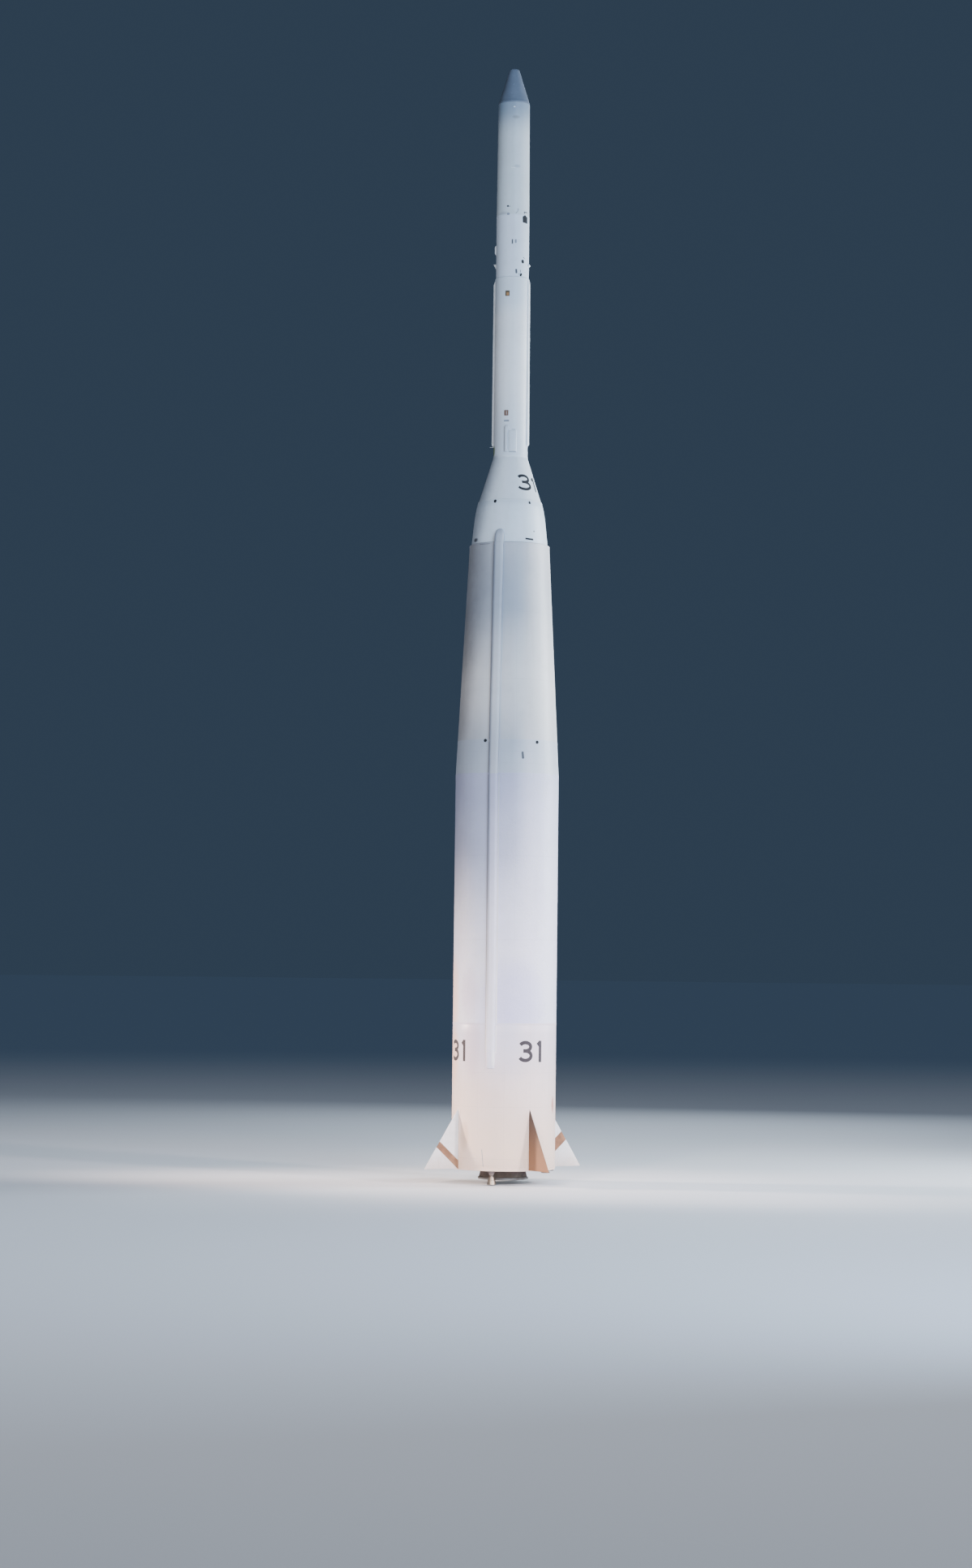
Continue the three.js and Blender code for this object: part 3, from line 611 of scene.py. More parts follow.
# Stains, painted shade and painted glow as ovals: azimuth, height, half width, half height, colour, strength
FINISHES = {
    "slate": flat_paint("slate_heat_paint", rgb(104, 113, 128), rgb(150, 163, 182), rough=0.55, scale=9.0),
    # Payload: its slate-blue top is partly a tint of its paint and partly painted shade; the grey oval at -24
    # degrees by the band is painted shade
    "payload": painted("payload_enamel", rgb(210, 216, 220), dirt=0.3, tones=[(24.5, 0.0), (25.35, 0.9)],
                       shade_to=rgb(128, 144, 162),
                       stains_and_painted_light=[(23.0, 25.00, 0.11, 0.055, rgb(126, 122, 118), 0.5),
                               (29.0, 23.815, 0.10, 0.05, GREY_SMUDGE_AND_SHADE, 0.4),
                               (-24.0, 22.68, 0.17, 0.06, GREY_SMUDGE_AND_SHADE, 0.3)]),
    "instrument": painted("instrument_enamel", rgb(220, 226, 236), dirt=0.35),
    "stage2": painted("second_stage_enamel", rgb(236, 236, 238), dirt=0.3, shade_to=rgb(196, 208, 220),
                      tones=[(16.9, 0.6), (18.6, 0.0), (20.1, 0.0), (20.7, 0.6)],
                      stains_and_painted_light=[(-68.0, 17.02, 0.14, 0.17, rgb(128, 142, 96), 1.3)]),
    # Adapter and guidance: the grey ovals at -62 degrees are painted shade on the -X side
    "adapter": painted("adapter_enamel", rgb(226, 231, 236), dirt=0.35,
                       stains_and_painted_light=[(-62.0, 15.7, 0.50, 1.8, GREY_SMUDGE_AND_SHADE, 0.55)]),
    "guidance": painted("guidance_grey_enamel", rgb(226, 234, 242), dirt=0.4,
                        stains_and_painted_light=[(-62.0, 15.7, 0.60, 1.8, GREY_SMUDGE_AND_SHADE, 0.55),
                                # Painted shade at the fuel tank's rim
                                (-48.8, 14.842, 0.14, 0.065, rgb(60, 66, 80), 1.0)]),
    # Fuel tank: the grey ovals at -52 and -60 degrees are painted shade on the -X side
    "fuel": painted("fuel_tank_enamel", rgb(237, 231, 228), seams=(11.5, 13.1), lines=(3, 1.05, 25.0),
                    **FIRST_STAGE, stains_and_painted_light=[(-52.0, 13.7, 0.85, 2.7, rgb(110, 108, 112), 0.56),
                                           (-60.0, 11.4, 0.65, 2.4, rgb(116, 114, 116), 0.42)]),
    "centre": painted("centre_body_enamel", rgb(223, 226, 234), seams=(9.52, 9.8), lines=(12, 1.2, 0.0),
                      **FIRST_STAGE),
    # Oxidiser tank: the warm oval at -62 degrees is painted glow of the exhaust flame
    "oxidiser": painted("oxidiser_tank_frost", rgb(230, 230, 250), dirt=0.35, seams=(5.4, 7.35),
                        lines=(3, 1.22, 25.0), frost=0.55, **OXIDISER,
                        stains_and_painted_light=[(24.0, 3.9, 0.95, 1.35, rgb(184, 186, 232), 0.6),
                                (-62.0, 4.0, 0.40, 1.3, rgb(246, 204, 184), 0.6),
                                (-28.0, 4.1, 0.36, 0.8, rgb(198, 186, 210), 0.5)]),
    # Engine section: its pink cast in part, its warm tint low down and the warm oval at -60 degrees are
    # painted glow of the exhaust flame
    "engine": painted("engine_section_enamel", rgb(232, 216, 219), dirt=0.4, seams=(0.3, 1.5, 2.3),
                      lines=(12, 1.22, 15.0), warm=0.95, tones=[(1.7, 0.0), (3.43, 0.9)],
                      shade_to=rgb(214, 213, 234),
                      stains_and_painted_light=[(85.0, 1.55, 0.10, 0.24, rgb(190, 130, 118), 0.8),
                              (-34.0, 0.80, 0.20, 0.42, rgb(206, 176, 152), 0.6),
                              (-24.0, 2.95, 0.34, 0.90, rgb(198, 174, 186), 0.4),
                              (-60.0, 2.70, 0.36, 0.90, rgb(244, 200, 172), 0.62),
                              (24.0, 2.90, 0.70, 0.90, rgb(196, 194, 212), 0.3)]),
    # Both tunnel finishes carry the painted shadow on the -X flank
    "tunnel": painted("tunnel_enamel", rgb(230, 228, 230), dirt=0.4, **FIRST_STAGE, flank=TUNNEL_FLANK_SHADE),
    "tunnel_low": painted("lower_tunnel_enamel", rgb(230, 229, 246), dirt=0.4, **OXIDISER, flank=TUNNEL_FLANK_SHADE,
                          # The white oval at 4 degrees is a painted highlight on the +X side of the tunnel's
                          # foot
                          stains_and_painted_light=[(4.0, 2.62, 0.07, 0.26, rgb(250, 250, 252), 0.8)]),
    "fitting": painted("fitting_enamel", rgb(212, 217, 224)),
    "bright": painted("bright_cover_enamel", rgb(240, 243, 246), dirt=0.15),
    "mark": flat_paint("dark_marking_paint", rgb(24, 27, 33), rgb(52, 56, 64), rough=0.75, scale=40.0),
    "faded": flat_paint("faded_marking_paint", rgb(84, 87, 94), rgb(120, 125, 134), rough=0.65, scale=40.0),
    "faint": flat_paint("faint_marking_paint", rgb(136, 142, 152), rgb(168, 174, 184), rough=0.65,
                        scale=40.0),
    "worn": flat_paint("worn_number_paint", rgb(46, 41, 47), rgb(118, 110, 116), rough=0.62, scale=22.0),
    # Black fins: the lighter brown towards their foot is painted glow of the exhaust flame
    "black": flat_paint("black_fin_paint", rgb(66, 55, 50), rgb(110, 90, 76), rough=0.62, scale=12.0,
                        heat=0.9),
    "bay": flat_paint("bay_green_primer", rgb(118, 128, 108), rgb(74, 70, 62), scale=8.0),
    "steel": metal("bare_steel", (0.42, 0.40, 0.38), (0.30, 0.27, 0.25)),
    "dark_steel": metal("sooted_steel", (0.16, 0.15, 0.15), (0.09, 0.085, 0.08), 0.5, 0.6, 0.7),
    "tubes": nozzle_steel(),
}

# Body sections: one turned shell each, with softened ends
LIP = 0.003
# Sides of the wide body, of its bands and of the small turned parts
BODY_SIDES, BAND_SIDES, PART_SIDES = 288, 256, 192


def shell(low, top, rows=8):
    """A full drum or cone between two seams: the wall's radius at even heights and at its bends, the two rims
    drawn in by a small lip."""
    bends = [h for h in WALL[:, 0] if low + 0.01 < h < top - 0.01]
    h = np.sort(np.concatenate([np.linspace(low + LIP, top - LIP, rows), bends]))
    r = wall_r(h)
    return np.concatenate([[(0.0, low), (r[0] - LIP, low)], np.stack([r, h], axis=1),
                           [(r[-1] - LIP, top), (0.0, top)]])


SECTIONS = [
    # name, finish, replaced node, low, top, sides
    ("payload_shell", "payload", "payload_section", INSTRUMENT_TOP, PAYLOAD_TOP, 160),
    ("instrument_shell", "instrument", "instrument_section", STAGE2_TOP, INSTRUMENT_TOP, 160),
    ("second_stage_shell", "stage2", "second_stage_tank", ADAPTER_TOP, STAGE2_TOP, 160),
    ("adapter_shell", "adapter", "adapter_cone", GUIDANCE_TOP, ADAPTER_TOP, 224),
    ("guidance_shell", "guidance", "guidance_section", FUEL_TOP, GUIDANCE_TOP, BAND_SIDES),
    ("fuel_tank_shell", "fuel", "fuel_tank", CENTRE_TOP, FUEL_TOP, BODY_SIDES),
    ("centre_body_shell", "centre", "centre_body", OXIDISER_TOP, CENTRE_TOP, BODY_SIDES),
    ("oxidiser_tank_shell", "oxidiser", "oxidiser_tank", ENGINE_TOP, OXIDISER_TOP, BODY_SIDES),
]
for name, finish, node, low, top, sides in SECTIONS:
    piece(name, lathe(shell(low, top), sides), finish, node)

# Nose: a straight blunt cone with a rounded tip over a short collar
NOSE_BALL_R, NOSE_BALL_Z = 0.128, TIP - 0.072
NOSE_LOW_R, NOSE_HIGH_R = 0.352, 0.14
nose_t = np.linspace(0.0, math.pi / 2, 10)[:-1]
nose_collar = [(-0.007, 0.0), (-0.003, 0.004), (-0.003, 0.035), (-0.009, 0.042)]
nose = np.concatenate([
    [(0.0, PAYLOAD_TOP)], np.add(nose_collar, (PAYLOAD_TOP_R, PAYLOAD_TOP)),
    np.linspace((NOSE_LOW_R, PAYLOAD_TOP + 0.085), (NOSE_HIGH_R, NOSE_BALL_Z - 0.03), 7),
    np.stack([NOSE_BALL_R * np.cos(nose_t), NOSE_BALL_Z + (TIP - NOSE_BALL_Z) * np.sin(nose_t)], axis=1),
    [(0.0, TIP)],
])
piece("nose_cone_shell", lathe(nose, 160), "slate", "nose_cone")

BANDS = [
    # height, half height, thickness, rivets in a row, finish
    (INSTRUMENT_TOP, 0.016, 0.003, 48, "instrument"), (STAGE2_TOP, 0.016, 0.0015, 48, "stage2"),
    (17.0, 0.014, 0.002, 48, "stage2"), (ADAPTER_TOP, 0.024, 0.004, 48, "adapter"),
    (GUIDANCE_TOP, 0.012, 0.0012, 96, "adapter"), (FUEL_TOP, 0.022, 0.003, 120, "fuel"),
    (CENTRE_TOP, 0.034, 0.003, 144, "centre"), (OXIDISER_TOP, 0.024, 0.0025, 144, "oxidiser"),
    (ENGINE_TOP, 0.022, 0.0025, 144, "engine"),
]
# Heights of inner frames that show as two rows of rivets, their finish and a row's way from the frame
FRAMES = [(9.52, "centre"), (9.8, "centre"), (2.3, "engine"), (1.5, "engine"), (0.3, "engine")]
FRAME_GAP = 0.03
# Way of a row from its seam in half heights of the band, and azimuths that the tunnels cover
BAND_GAP = 1.8
TUNNEL_GAPS = ((-9.0, 9.0), (171.0, 189.0))
# A wall wider than the first has tunnels on it, and one up to the second has the smaller rivets
WIDE_R, SLIM_R = 0.9, 0.6


def wall_band(height, half, thick):
    """A thin splice band laid on the wall, also over a seam between two slopes, its edges drawn in."""
    peak = max(wall_r(height - 0.0005), wall_r(height + 0.0005)) + thick
    low_r, high_r = wall_r(height - half), wall_r(height + half)
    return lathe(bar(low_r, high_r, height, half, thick, 0.35 * thick, [(peak, height)]), BAND_SIDES)


def rivet_row(height, gap, count):
    """Rivet heads in two rings round the wall, evenly spaced, smaller on the slim stage; on the wide one,
    none where the tunnels lie."""
    azimuth = np.arange(count) * 360.0 / count
    for low, high in TUNNEL_GAPS if wall_r(height) > WIDE_R else ():
        azimuth = azimuth[~(((azimuth - low) % 360.0) < ((high - low) % 360.0))]
    size = 0.005 if wall_r(height) > SLIM_R else 0.0035
    return heads(ROUND_HEAD, size, size / 2, azimuth[:, None], [height - gap, height + gap])


tones = list(dict.fromkeys(row[4] for row in BANDS))
for tone in tones:
    piece(f"splice_bands_{tone}", [wall_band(*row[:3]) for row in BANDS if row[4] == tone], tone)
for tone in tones:
    rows = [rivet_row(h, half * BAND_GAP, count) for h, half, _, count, own in BANDS if own == tone]
    rows += [rivet_row(h, FRAME_GAP, 144) for h, own in FRAMES if own == tone]
    piece(f"rivet_rows_{tone}", rows, tone)


# Cable tunnels

def cover(azimuth, rows, square=0.42, flat=0.0):
    """A long cover on the wall: at each (height, width, thickness) a rounded box section,
    across = w/2 cos^e t and out = thickness sin^e t, closed below the wall. With flat, its sides and top are
    flat up to that share of the half width and thickness and its corners are quarter ellipses."""
    rows = np.asarray(rows, float)
    t = np.linspace(0.0, math.pi, 17)
    c = np.sign(np.cos(t)) * np.abs(np.cos(t)) ** square
    s = np.abs(np.sin(t)) ** square
    if flat:
        q = np.linspace(0.0, math.pi / 2, 5)
        right = flat + (1.0 - flat) * np.cos(q)
        rise = flat + (1.0 - flat) * np.sin(q)
        c = np.concatenate([[1.0], right, -right[::-1], [-1.0]])
        s = np.concatenate([[0.3], rise, rise[::-1], [0.3]])
    across = rows[:, 1:2] / 2 * np.concatenate([c, [-0.97, 0.97]])
    out = np.concatenate([rows[:, 2:3] * s, np.full((len(rows), 2), -0.006)], axis=1)
    return loft(on_wall(across, rows[:, 0:1], out, azimuth))


TUNNEL_W, TUNNEL_T = 0.22, 0.095
TUNNEL_LOW, TUNNEL_HIGH = 2.40, 15.06
TUNNEL_FOOT, TUNNEL_FOOT_T = 0.43, 0.014
TUNNEL_SQUARE = 0.62
STRAP_HALF, STRAP_PITCH = 0.016, 0.9
# How far the rows of screws and the flanges lie from a tunnel's sides
SCREW_OUT, FLANGE_OUT = 0.018, 0.012
SCREW_HEIGHTS = np.arange(2.9, 14.65, 0.15)
FLANGE = ((-0.020, -ROOT), (-0.020, 0.0016), (0.014, 0.0016), (0.020, 0.0004), (0.020, -ROOT))


def even_rows(low, high, count, width=TUNNEL_W, thick=TUNNEL_T):
    """Rows of one width and thickness at even heights."""
    return [(z, width, thick) for z in np.linspace(low, high, count)]


def tunnel_nose_rows():
    """The tunnel over the tank's rim: its outer radius falls as 0.055 u + 0.092 u^5 of a metre, its width as
    0.3 + 0.7 sqrt(1 - u^3.2), u from 0 at the rim to 1 at its tip."""
    u = np.sin(np.linspace(0.0, math.pi / 2, 16))
    h = FUEL_TOP + (TUNNEL_HIGH - FUEL_TOP) * u + 1e-3
    outer = TANK_TOP_R + TUNNEL_T - 0.055 * u - 0.092 * u ** 5
    return np.stack([h, TUNNEL_W * (0.30 + 0.70 * np.sqrt(1.0 - u ** 3.2)), outer - wall_r(h)], axis=1)


def tunnel_lower_rows():
    """The tunnel on the straight tank. Along its foot, u from 0 to 1, its width grows from 0.8 of its own
    and its thickness from the foot's as u^0.93, with a step of 8 mm at the end that fades out as 1 - u."""
    u = np.concatenate([[0.0, 0.012], np.linspace(0.12, 1.0, 8)])
    thick = TUNNEL_FOOT_T + (TUNNEL_T - TUNNEL_FOOT_T) * u ** 0.93 + 0.008 * (u > 0.0) * (1.0 - u)
    end = np.stack([TUNNEL_LOW + TUNNEL_FOOT * u, TUNNEL_W * (0.8 + 0.2 * u), thick], axis=1)
    return np.concatenate([end, even_rows(TUNNEL_LOW + TUNNEL_FOOT + 0.03, OXIDISER_TOP, 9)])


def tunnel_edge(azimuth, sign):
    """The row of screws and the flange along one side of a tunnel."""
    turn = sign * np.degrees((TUNNEL_W / 2 + SCREW_OUT) / wall_r(SCREW_HEIGHTS))
    screws = heads(ROUND_HEAD, 0.006, 0.004, azimuth + turn, SCREW_HEIGHTS)
    z = np.concatenate([np.linspace(TUNNEL_LOW + 0.35, OXIDISER_TOP, 8),
                        np.linspace(OXIDISER_TOP + 1e-3, FUEL_TOP - 0.04, 7)])
    middle = sign * (TUNNEL_W / 2 + FLANGE_OUT)
    return screws, loft(np.stack([on_wall(middle + dx, z, rise, azimuth) for dx, rise in FLANGE], axis=1))


for side, azimuth in (("front", 0.0), ("back", 180.0)):
    upper = even_rows(OXIDISER_TOP + STEP, FUEL_TOP - 2 * STEP, 8)
    for part, rows in (("lower", tunnel_lower_rows()), ("upper", upper), ("nose", tunnel_nose_rows())):
        piece(f"tunnel_{part}_cover_{side}", cover(azimuth, rows, TUNNEL_SQUARE),
              "tunnel_low" if part == "lower" else "tunnel", f"tunnel_{part}_{side}")
    for half, finish, low, high in (("low", "tunnel_low", 3.4, OXIDISER_TOP), ("high", "tunnel", 9.7, 14.7)):
        straps = []
        for z in np.arange(low, high, STRAP_PITCH):
            rows = even_rows(z - STRAP_HALF, z + STRAP_HALF, 2, TUNNEL_W + 0.004, TUNNEL_T + 0.0018)
            straps.append(cover(azimuth, rows, TUNNEL_SQUARE))
        piece(f"tunnel_straps_{half}_{side}", straps, finish)
    screws, flanges = zip(*(tunnel_edge(azimuth, sign) for sign in (-1.0, 1.0)))
    piece(f"tunnel_flanges_{side}", list(flanges), "tunnel")
    piece(f"tunnel_screws_{side}", list(screws), "tunnel")

# Fins, each with root angles and bolts on both sides
FIN_TIP_R, FIN_LOW, FIN_TOP, FIN_TIP_TALL = 2.105, 0.04, 1.46, 0.03
FIN_ROOT_R = BODY_R - 0.006
FIN_HALF, FIN_EDGE_HALF, FIN_TAPER = 0.018, 0.004, 0.12
# Cosine of the leading edge's slope: how far a point lies from the edge for each metre below it
FIN_SLOPE = 0.53
FIN_LEVELS = np.array([0.0, 0.02, 0.15, 0.3, 0.45, 0.6, 0.7, 0.78, 0.85, 0.9, 0.94, 0.97, 0.99, 1.0])


def fin_blade(azimuth):
    """A fin: for each distance s out from the wall a section from the flat foot up to the leading edge, its
    half thickness edge + (full - edge) sin(pi / 2 d / taper) at d from that edge; turned to its azimuth."""
    s, v = np.linspace(0.0, 1.0, 26)[:, None], FIN_LEVELS[None, :]
    length = FIN_TOP + (FIN_LOW + FIN_TIP_TALL - FIN_TOP) * s - FIN_LOW
    z = FIN_LOW + length * v
    reach = np.minimum((1.0 - v) * length * FIN_SLOPE / FIN_TAPER, 1.0)
    half = FIN_EDGE_HALF + (FIN_HALF - FIN_EDGE_HALF) * np.sin(reach * math.pi / 2)
    half = half * (1.0 - 0.35 * (v > 0.995)) * (1.0 - 0.12 * (v < 0.01))
    side = np.concatenate([half, -half[:, ::-1]], axis=1)
    up = np.concatenate([z, z[:, ::-1]], axis=1)
    return loft(turned(azimuth, FIN_ROOT_R + (FIN_TIP_R - FIN_ROOT_R) * s, side, up))


# The angles that hold a fin's root: way off its middle, height, width, tall, corner and thickness
ANGLE_OFF, ANGLE_Z = 0.052, 0.74
ANGLE_SIZE, ANGLE_T = (0.062, 1.36, 0.012), 0.007
ROOT_BOLTS = np.arange(0.12, 1.4, 0.08)
# Azimuth and the white fins' stripe, as two distances along its normal
FINS = {"front_right": (45.0, None), "back_right": (135.0, (0.165, 0.400)), "back_left": (225.0, None),
        "front_left": (315.0, (0.015, 0.172))}
for place, (azimuth, stripe) in FINS.items():
    finish = "black"
    if stripe:
        finish = f"striped_{place}"
        FINISHES[finish] = striped_fin(f"striped_fin_paint_{place}", azimuth, *stripe)
    piece(f"fin_blade_{place}", fin_blade(azimuth), finish, f"fin_{place}")
    sides = [azimuth + math.degrees(sign * ANGLE_OFF / BODY_R) for sign in (-1.0, 1.0)]
    angles = [plate(a, ANGLE_Z, oblong(*ANGLE_SIZE), ANGLE_T) for a in sides]
    piece(f"fin_root_angles_{place}", angles, "engine")
    bolts = [heads(BOLT_HEAD, 0.009, 0.013, a, ROOT_BOLTS) for a in sides]
    piece(f"fin_root_bolts_{place}", bolts, "engine")

# Fittings on the slim upper stage: conduits with clips, drain pipe, access box, tags, blister, antennas
STRIP_LOW, STRIP_TOP, STRIP_W = 17.14, 21.13, 0.12
STRIP_FOOT, STRIP_END, STRIP_END_T = 0.05, 0.11, 0.009
STRIP_FLAT, CLIP_HALF = 0.8, 0.010


def conduit_rows(low_thick, top_thick):
    """A conduit: its foot's thickness rises as 0.45 + 0.55 sin(u pi / 2) of the low one, its middle's goes
    evenly to the top one, and its end's falls as u^1.2 while its width shrinks by 0.3 u^2."""
    foot = [(STRIP_LOW + STRIP_FOOT * u, STRIP_W * (0.8 + 0.2 * u),
             low_thick * (0.45 + 0.55 * math.sin(u * math.pi / 2))) for u in np.linspace(0.0, 1.0, 6)]
    middle = [(z, STRIP_W, low_thick + (top_thick - low_thick) * (z - STRIP_LOW) / (STRIP_TOP - STRIP_LOW))
              for z in np.linspace(STRIP_LOW + STRIP_FOOT + 0.03, STRIP_TOP - STRIP_END - 0.02, 8)]
    end = [(STRIP_TOP - STRIP_END + STRIP_END * u, STRIP_W * (1.0 - 0.3 * u ** 2),
            top_thick + (STRIP_END_T - top_thick) * u ** 1.2) for u in np.linspace(0.0, 1.0, 7)]
    return foot + middle + end


CONDUITS = {"right": (90.0, 0.038, 0.027), "left": (270.0, 0.053, 0.043)}
clips = []
for side, (azimuth, low, high) in CONDUITS.items():
    piece(f"conduit_cover_{side}", cover(azimuth, conduit_rows(low, high), flat=STRIP_FLAT), "bright",
          f"conduit_{side}")
    clips += [cover(azimuth, even_rows(z - CLIP_HALF, z + CLIP_HALF, 2, STRIP_W + 0.002, t), flat=STRIP_FLAT)
              for z, t in zip(np.linspace(17.4, 20.9, 8), np.linspace(low, high, 8) + 0.001)]
piece("conduit_clips", clips, "bright")

COVERS = [
    # name, finish, slot, replaced node, azimuth, squareness, rows of height, width and thickness
    ("drain_pipe_cover", "fitting", None, "drain_pipe", 0.0, 0.8,
     [(16.965, 0.080, 0.040), (16.99, 0.084, 0.044), (17.54, 0.084, 0.044), (17.575, 0.078, 0.036),
      (17.595, 0.06, 0.02)]),
    ("access_box_cover", "stage2", None, "access_box", 22.0, 0.6,
     [(16.972, 0.178, 0.022), (16.990, 0.19, 0.034), (17.44, 0.19, 0.026), (17.478, 0.17, 0.006)]),
    ("side_blister_cover", "bright", None, "side_blister", 278.0, 0.42,
     [(21.746, 0.090, 0.006), (21.760, 0.102, 0.023), (21.770, 0.108, 0.032), (21.779, 0.110, 0.036),
      (21.933, 0.110, 0.036), (21.943, 0.108, 0.032), (21.956, 0.102, 0.023), (21.972, 0.090, 0.006)]),
    ("antenna_wedge_blade_right", "bright", "bare_steel", "antenna_wedge_right", 90.0, 0.3,
     [(21.420, 0.040, 0.008), (21.4665, 0.050, 0.051), (21.4715, 0.050, 0.051), (21.525, 0.040, 0.008)]),
    ("antenna_wedge_blade_left", "bright", "bare_steel", "antenna_wedge_left", 270.0, 0.3,
     [(21.404, 0.040, 0.008), (21.52, 0.058, 0.068), (21.528, 0.060, 0.071), (21.530, 0.058, 0.069)]),
]
for name, finish, slot, node, azimuth, square, rows in COVERS:
    piece(name, cover(azimuth, rows, square), finish, node)

TAGS = {
    # height, frame colour, middle's height, colour, half width and half height
    "lower": (17.89, rgb(112, 80, 64), 17.89, rgb(166, 150, 144), 0.014, 0.042),
    "upper": (20.75, rgb(88, 76, 54), 20.735, rgb(178, 128, 82), 0.028, 0.036),
}
for name, (height, frame_colour, middle, middle_colour, wide, tall) in TAGS.items():
    finish = f"tag_paint_{name}"
    FINISHES[finish] = tag_paint(finish, middle, frame_colour, middle_colour, wide, tall)
    piece(f"tag_plate_{name}_face", plate(-0.8, height, oblong(0.102, 0.13, 0.008), 0.008), finish,
          f"tag_plate_{name}")

# A drain spike that stands out from the foot of the second stage
SPIKE_Z = 17.13
spike = turned(270.0, STAGE2_R + np.array([-0.01, 0.02, 0.08, 0.11]), 0.0, SPIKE_Z)
piece("drain_spike", pipe(spike, [0.009, 0.006, 0.004, 0.002], 12), "bright")

# Marks, windows, ports, lugs and lines of painted shade, by piece and finish: azimuth, height, width, tall,
# corner and any tilt
MARKS = {
    "dark_marks": ("mark", [
        (66.0, 22.727, 0.13, 0.018, 0.005), (60.5, 22.698, 0.035, 0.016, 0.007),
        (-3.6, 22.849, 0.046, 0.040, 0.016), (53.8, 21.530, 0.075, 0.090, 0.032, 8.0),
        (46.0, 21.207, 0.046, 0.075, 0.018, -24.0), (44.2, 21.292, 0.011, 0.064, 0.004),
        (-12.0, 15.738, 0.066, 0.078, 0.030), (51.8, 15.716, 0.056, 0.068, 0.026),
        (46.6, 14.837, 0.220, 0.042, 0.008, -3.0),
        (-11.0, CENTRE_TOP, 0.082, 0.078, 0.038), (51.0, CENTRE_TOP - 0.022, 0.082, 0.078, 0.038)]),
    "faded_marks": ("faded", [
        (13.8, 21.995, 0.034, 0.110, 0.010), (59.5, 21.620, 0.060, 0.015, 0.005, -34.0),
        (38.4, 21.222, 0.035, 0.009, 0.004), (28.6, 21.285, 0.046, 0.105, 0.014, 4.0),
        # (-48.8, 14.842) here and (-23.5, 14.712) below are painted shade at the fuel tank's rim
        (56.0, 15.032, 0.034, 0.034, 0.016), (-48.8, 14.842, 0.105, 0.062, 0.030),
        (-23.5, 14.712, 0.320, 0.009, 0.004), (32.6, 9.71, 0.055, 0.175, 0.026, 5.0)]),
    "faint_marks": ("faint", [
        (3.0, 22.842, 0.036, 0.020, 0.008), (33.0, 22.765, 0.016, 0.066, 0.006, -8.0),
        (28.6, 22.702, 0.014, 0.070, 0.005, -48.0), (-1.6, 22.660, 0.070, 0.058, 0.026),
        (25.8, 22.004, 0.046, 0.088, 0.014), (65.6, 21.283, 0.020, 0.016, 0.007),
        # (-6.4, 17.264) is the painted shadow along the drain pipe's -X side
        (0.0, 17.701, 0.126, 0.042, 0.008), (-6.4, 17.264, 0.016, 0.600, 0.006),
        # (16.3, 14.74) is painted shade at the fuel tank's rim; (24.6, 17.494) is painted shade along the
        # access box's top
        (16.3, 14.74, 0.250, 0.007, 0.003), (24.6, 17.494, 0.085, 0.012, 0.004),
        # (21.0, 16.955) is painted shade under the access box
        (15.6, 17.217, 0.078, 0.010, 0.004), (21.0, 16.955, 0.170, 0.014, 0.004),
        (-8.3, 0.32, 0.012, 0.40, 0.005, 6.0)]),
    "light_lugs": ("bright", [
        (16.5, 25.245, 0.040, 0.026, 0.008), (14.5, 23.772, 0.100, 0.016, 0.006, 3.0)]),
}
MARK, SEAM_MARK, MARK_EDGE, BAND_REACH = 0.0025, 0.0065, 0.0008, 0.07
# The dark panel by the instrument section's upper rim, one corner cut: points as (across, up)
PANEL = [(-0.078, -0.085), (0.078, -0.098), (0.080, 0.050), (-0.012, 0.098), (-0.080, 0.050)]


def mark(azimuth, height, *size):
    """A thin raised plate of paint, thicker where it lies on a splice band."""
    on_band = min(abs(height - row[0]) for row in BANDS) < BAND_REACH
    return plate(azimuth, height, oblong(*size), SEAM_MARK if on_band else MARK, MARK_EDGE)


for name, (finish, rows) in MARKS.items():
    shapes = [mark(*row) for row in rows]
    if name == "dark_marks":
        shapes.append(plate(63.3, 22.558, spread(PANEL, 0.03, closed=True), SEAM_MARK, MARK_EDGE))
    piece(name, shapes, finish)


# Plain numbers, painted above each fin and on the adapter

def arc(cx, cy, r, start, end, squash):
    """Points of a circle's arc in degrees, its height scaled by squash."""
    t = np.radians(np.linspace(start, end, 18))
    return np.stack([cx + r * np.cos(t), cy + r * squash * np.sin(t)], axis=1)


def figure_three(w, h):
    """Strokes of a plain 3: two open rounds that meet at a short bar a little above the middle."""
    meet = 0.03 * h
    upper, lower = (0.5 * h - meet) / 2.0, (0.5 * h + meet) / 2.0
    short = [(-0.20 * w, meet)]
    return [np.concatenate([arc(-0.04 * w, meet + upper, 0.42 * w, 155.0, -90.0, upper / (0.42 * w)), short]),
            np.concatenate([short, arc(-0.04 * w, meet - lower, 0.46 * w, 90.0, -155.0, lower / (0.46 * w))])]


def figure_one(w, h):
    """Strokes of a plain 1: the upright and a short flag."""
    return [np.array([(0.0, -h / 2), (0.0, h / 2)]), np.array([(0.02 * w, 0.46 * h), (-0.24 * w, 0.30 * h)])]


def number(azimuth, height, w, h, stroke, pitch, drop=0.0):
    """Two figures side by side, each stroke a ribbon on the wall, the second a hair thinner than the first;
    the second figure's top is lower by a drop. Across grows with the wall's radius, so that an upright
    stroke keeps its azimuth on a cone."""
    shapes = []
    for strokes, dx, dy in ((figure_three(w, h - stroke), -pitch / 2, 0.0),
                            (figure_one(w, h - drop), pitch / 2, -drop / 2)):
        for k, path in enumerate(strokes):
            moved = spread(path + (dx, dy), 0.03)
            moved[:, 0] *= wall_r(height + moved[:, 1]) / wall_r(height)
            shapes.append(ribbon(moved, stroke, 0.0014 - 0.0003 * k, azimuth, height))
    return shapes


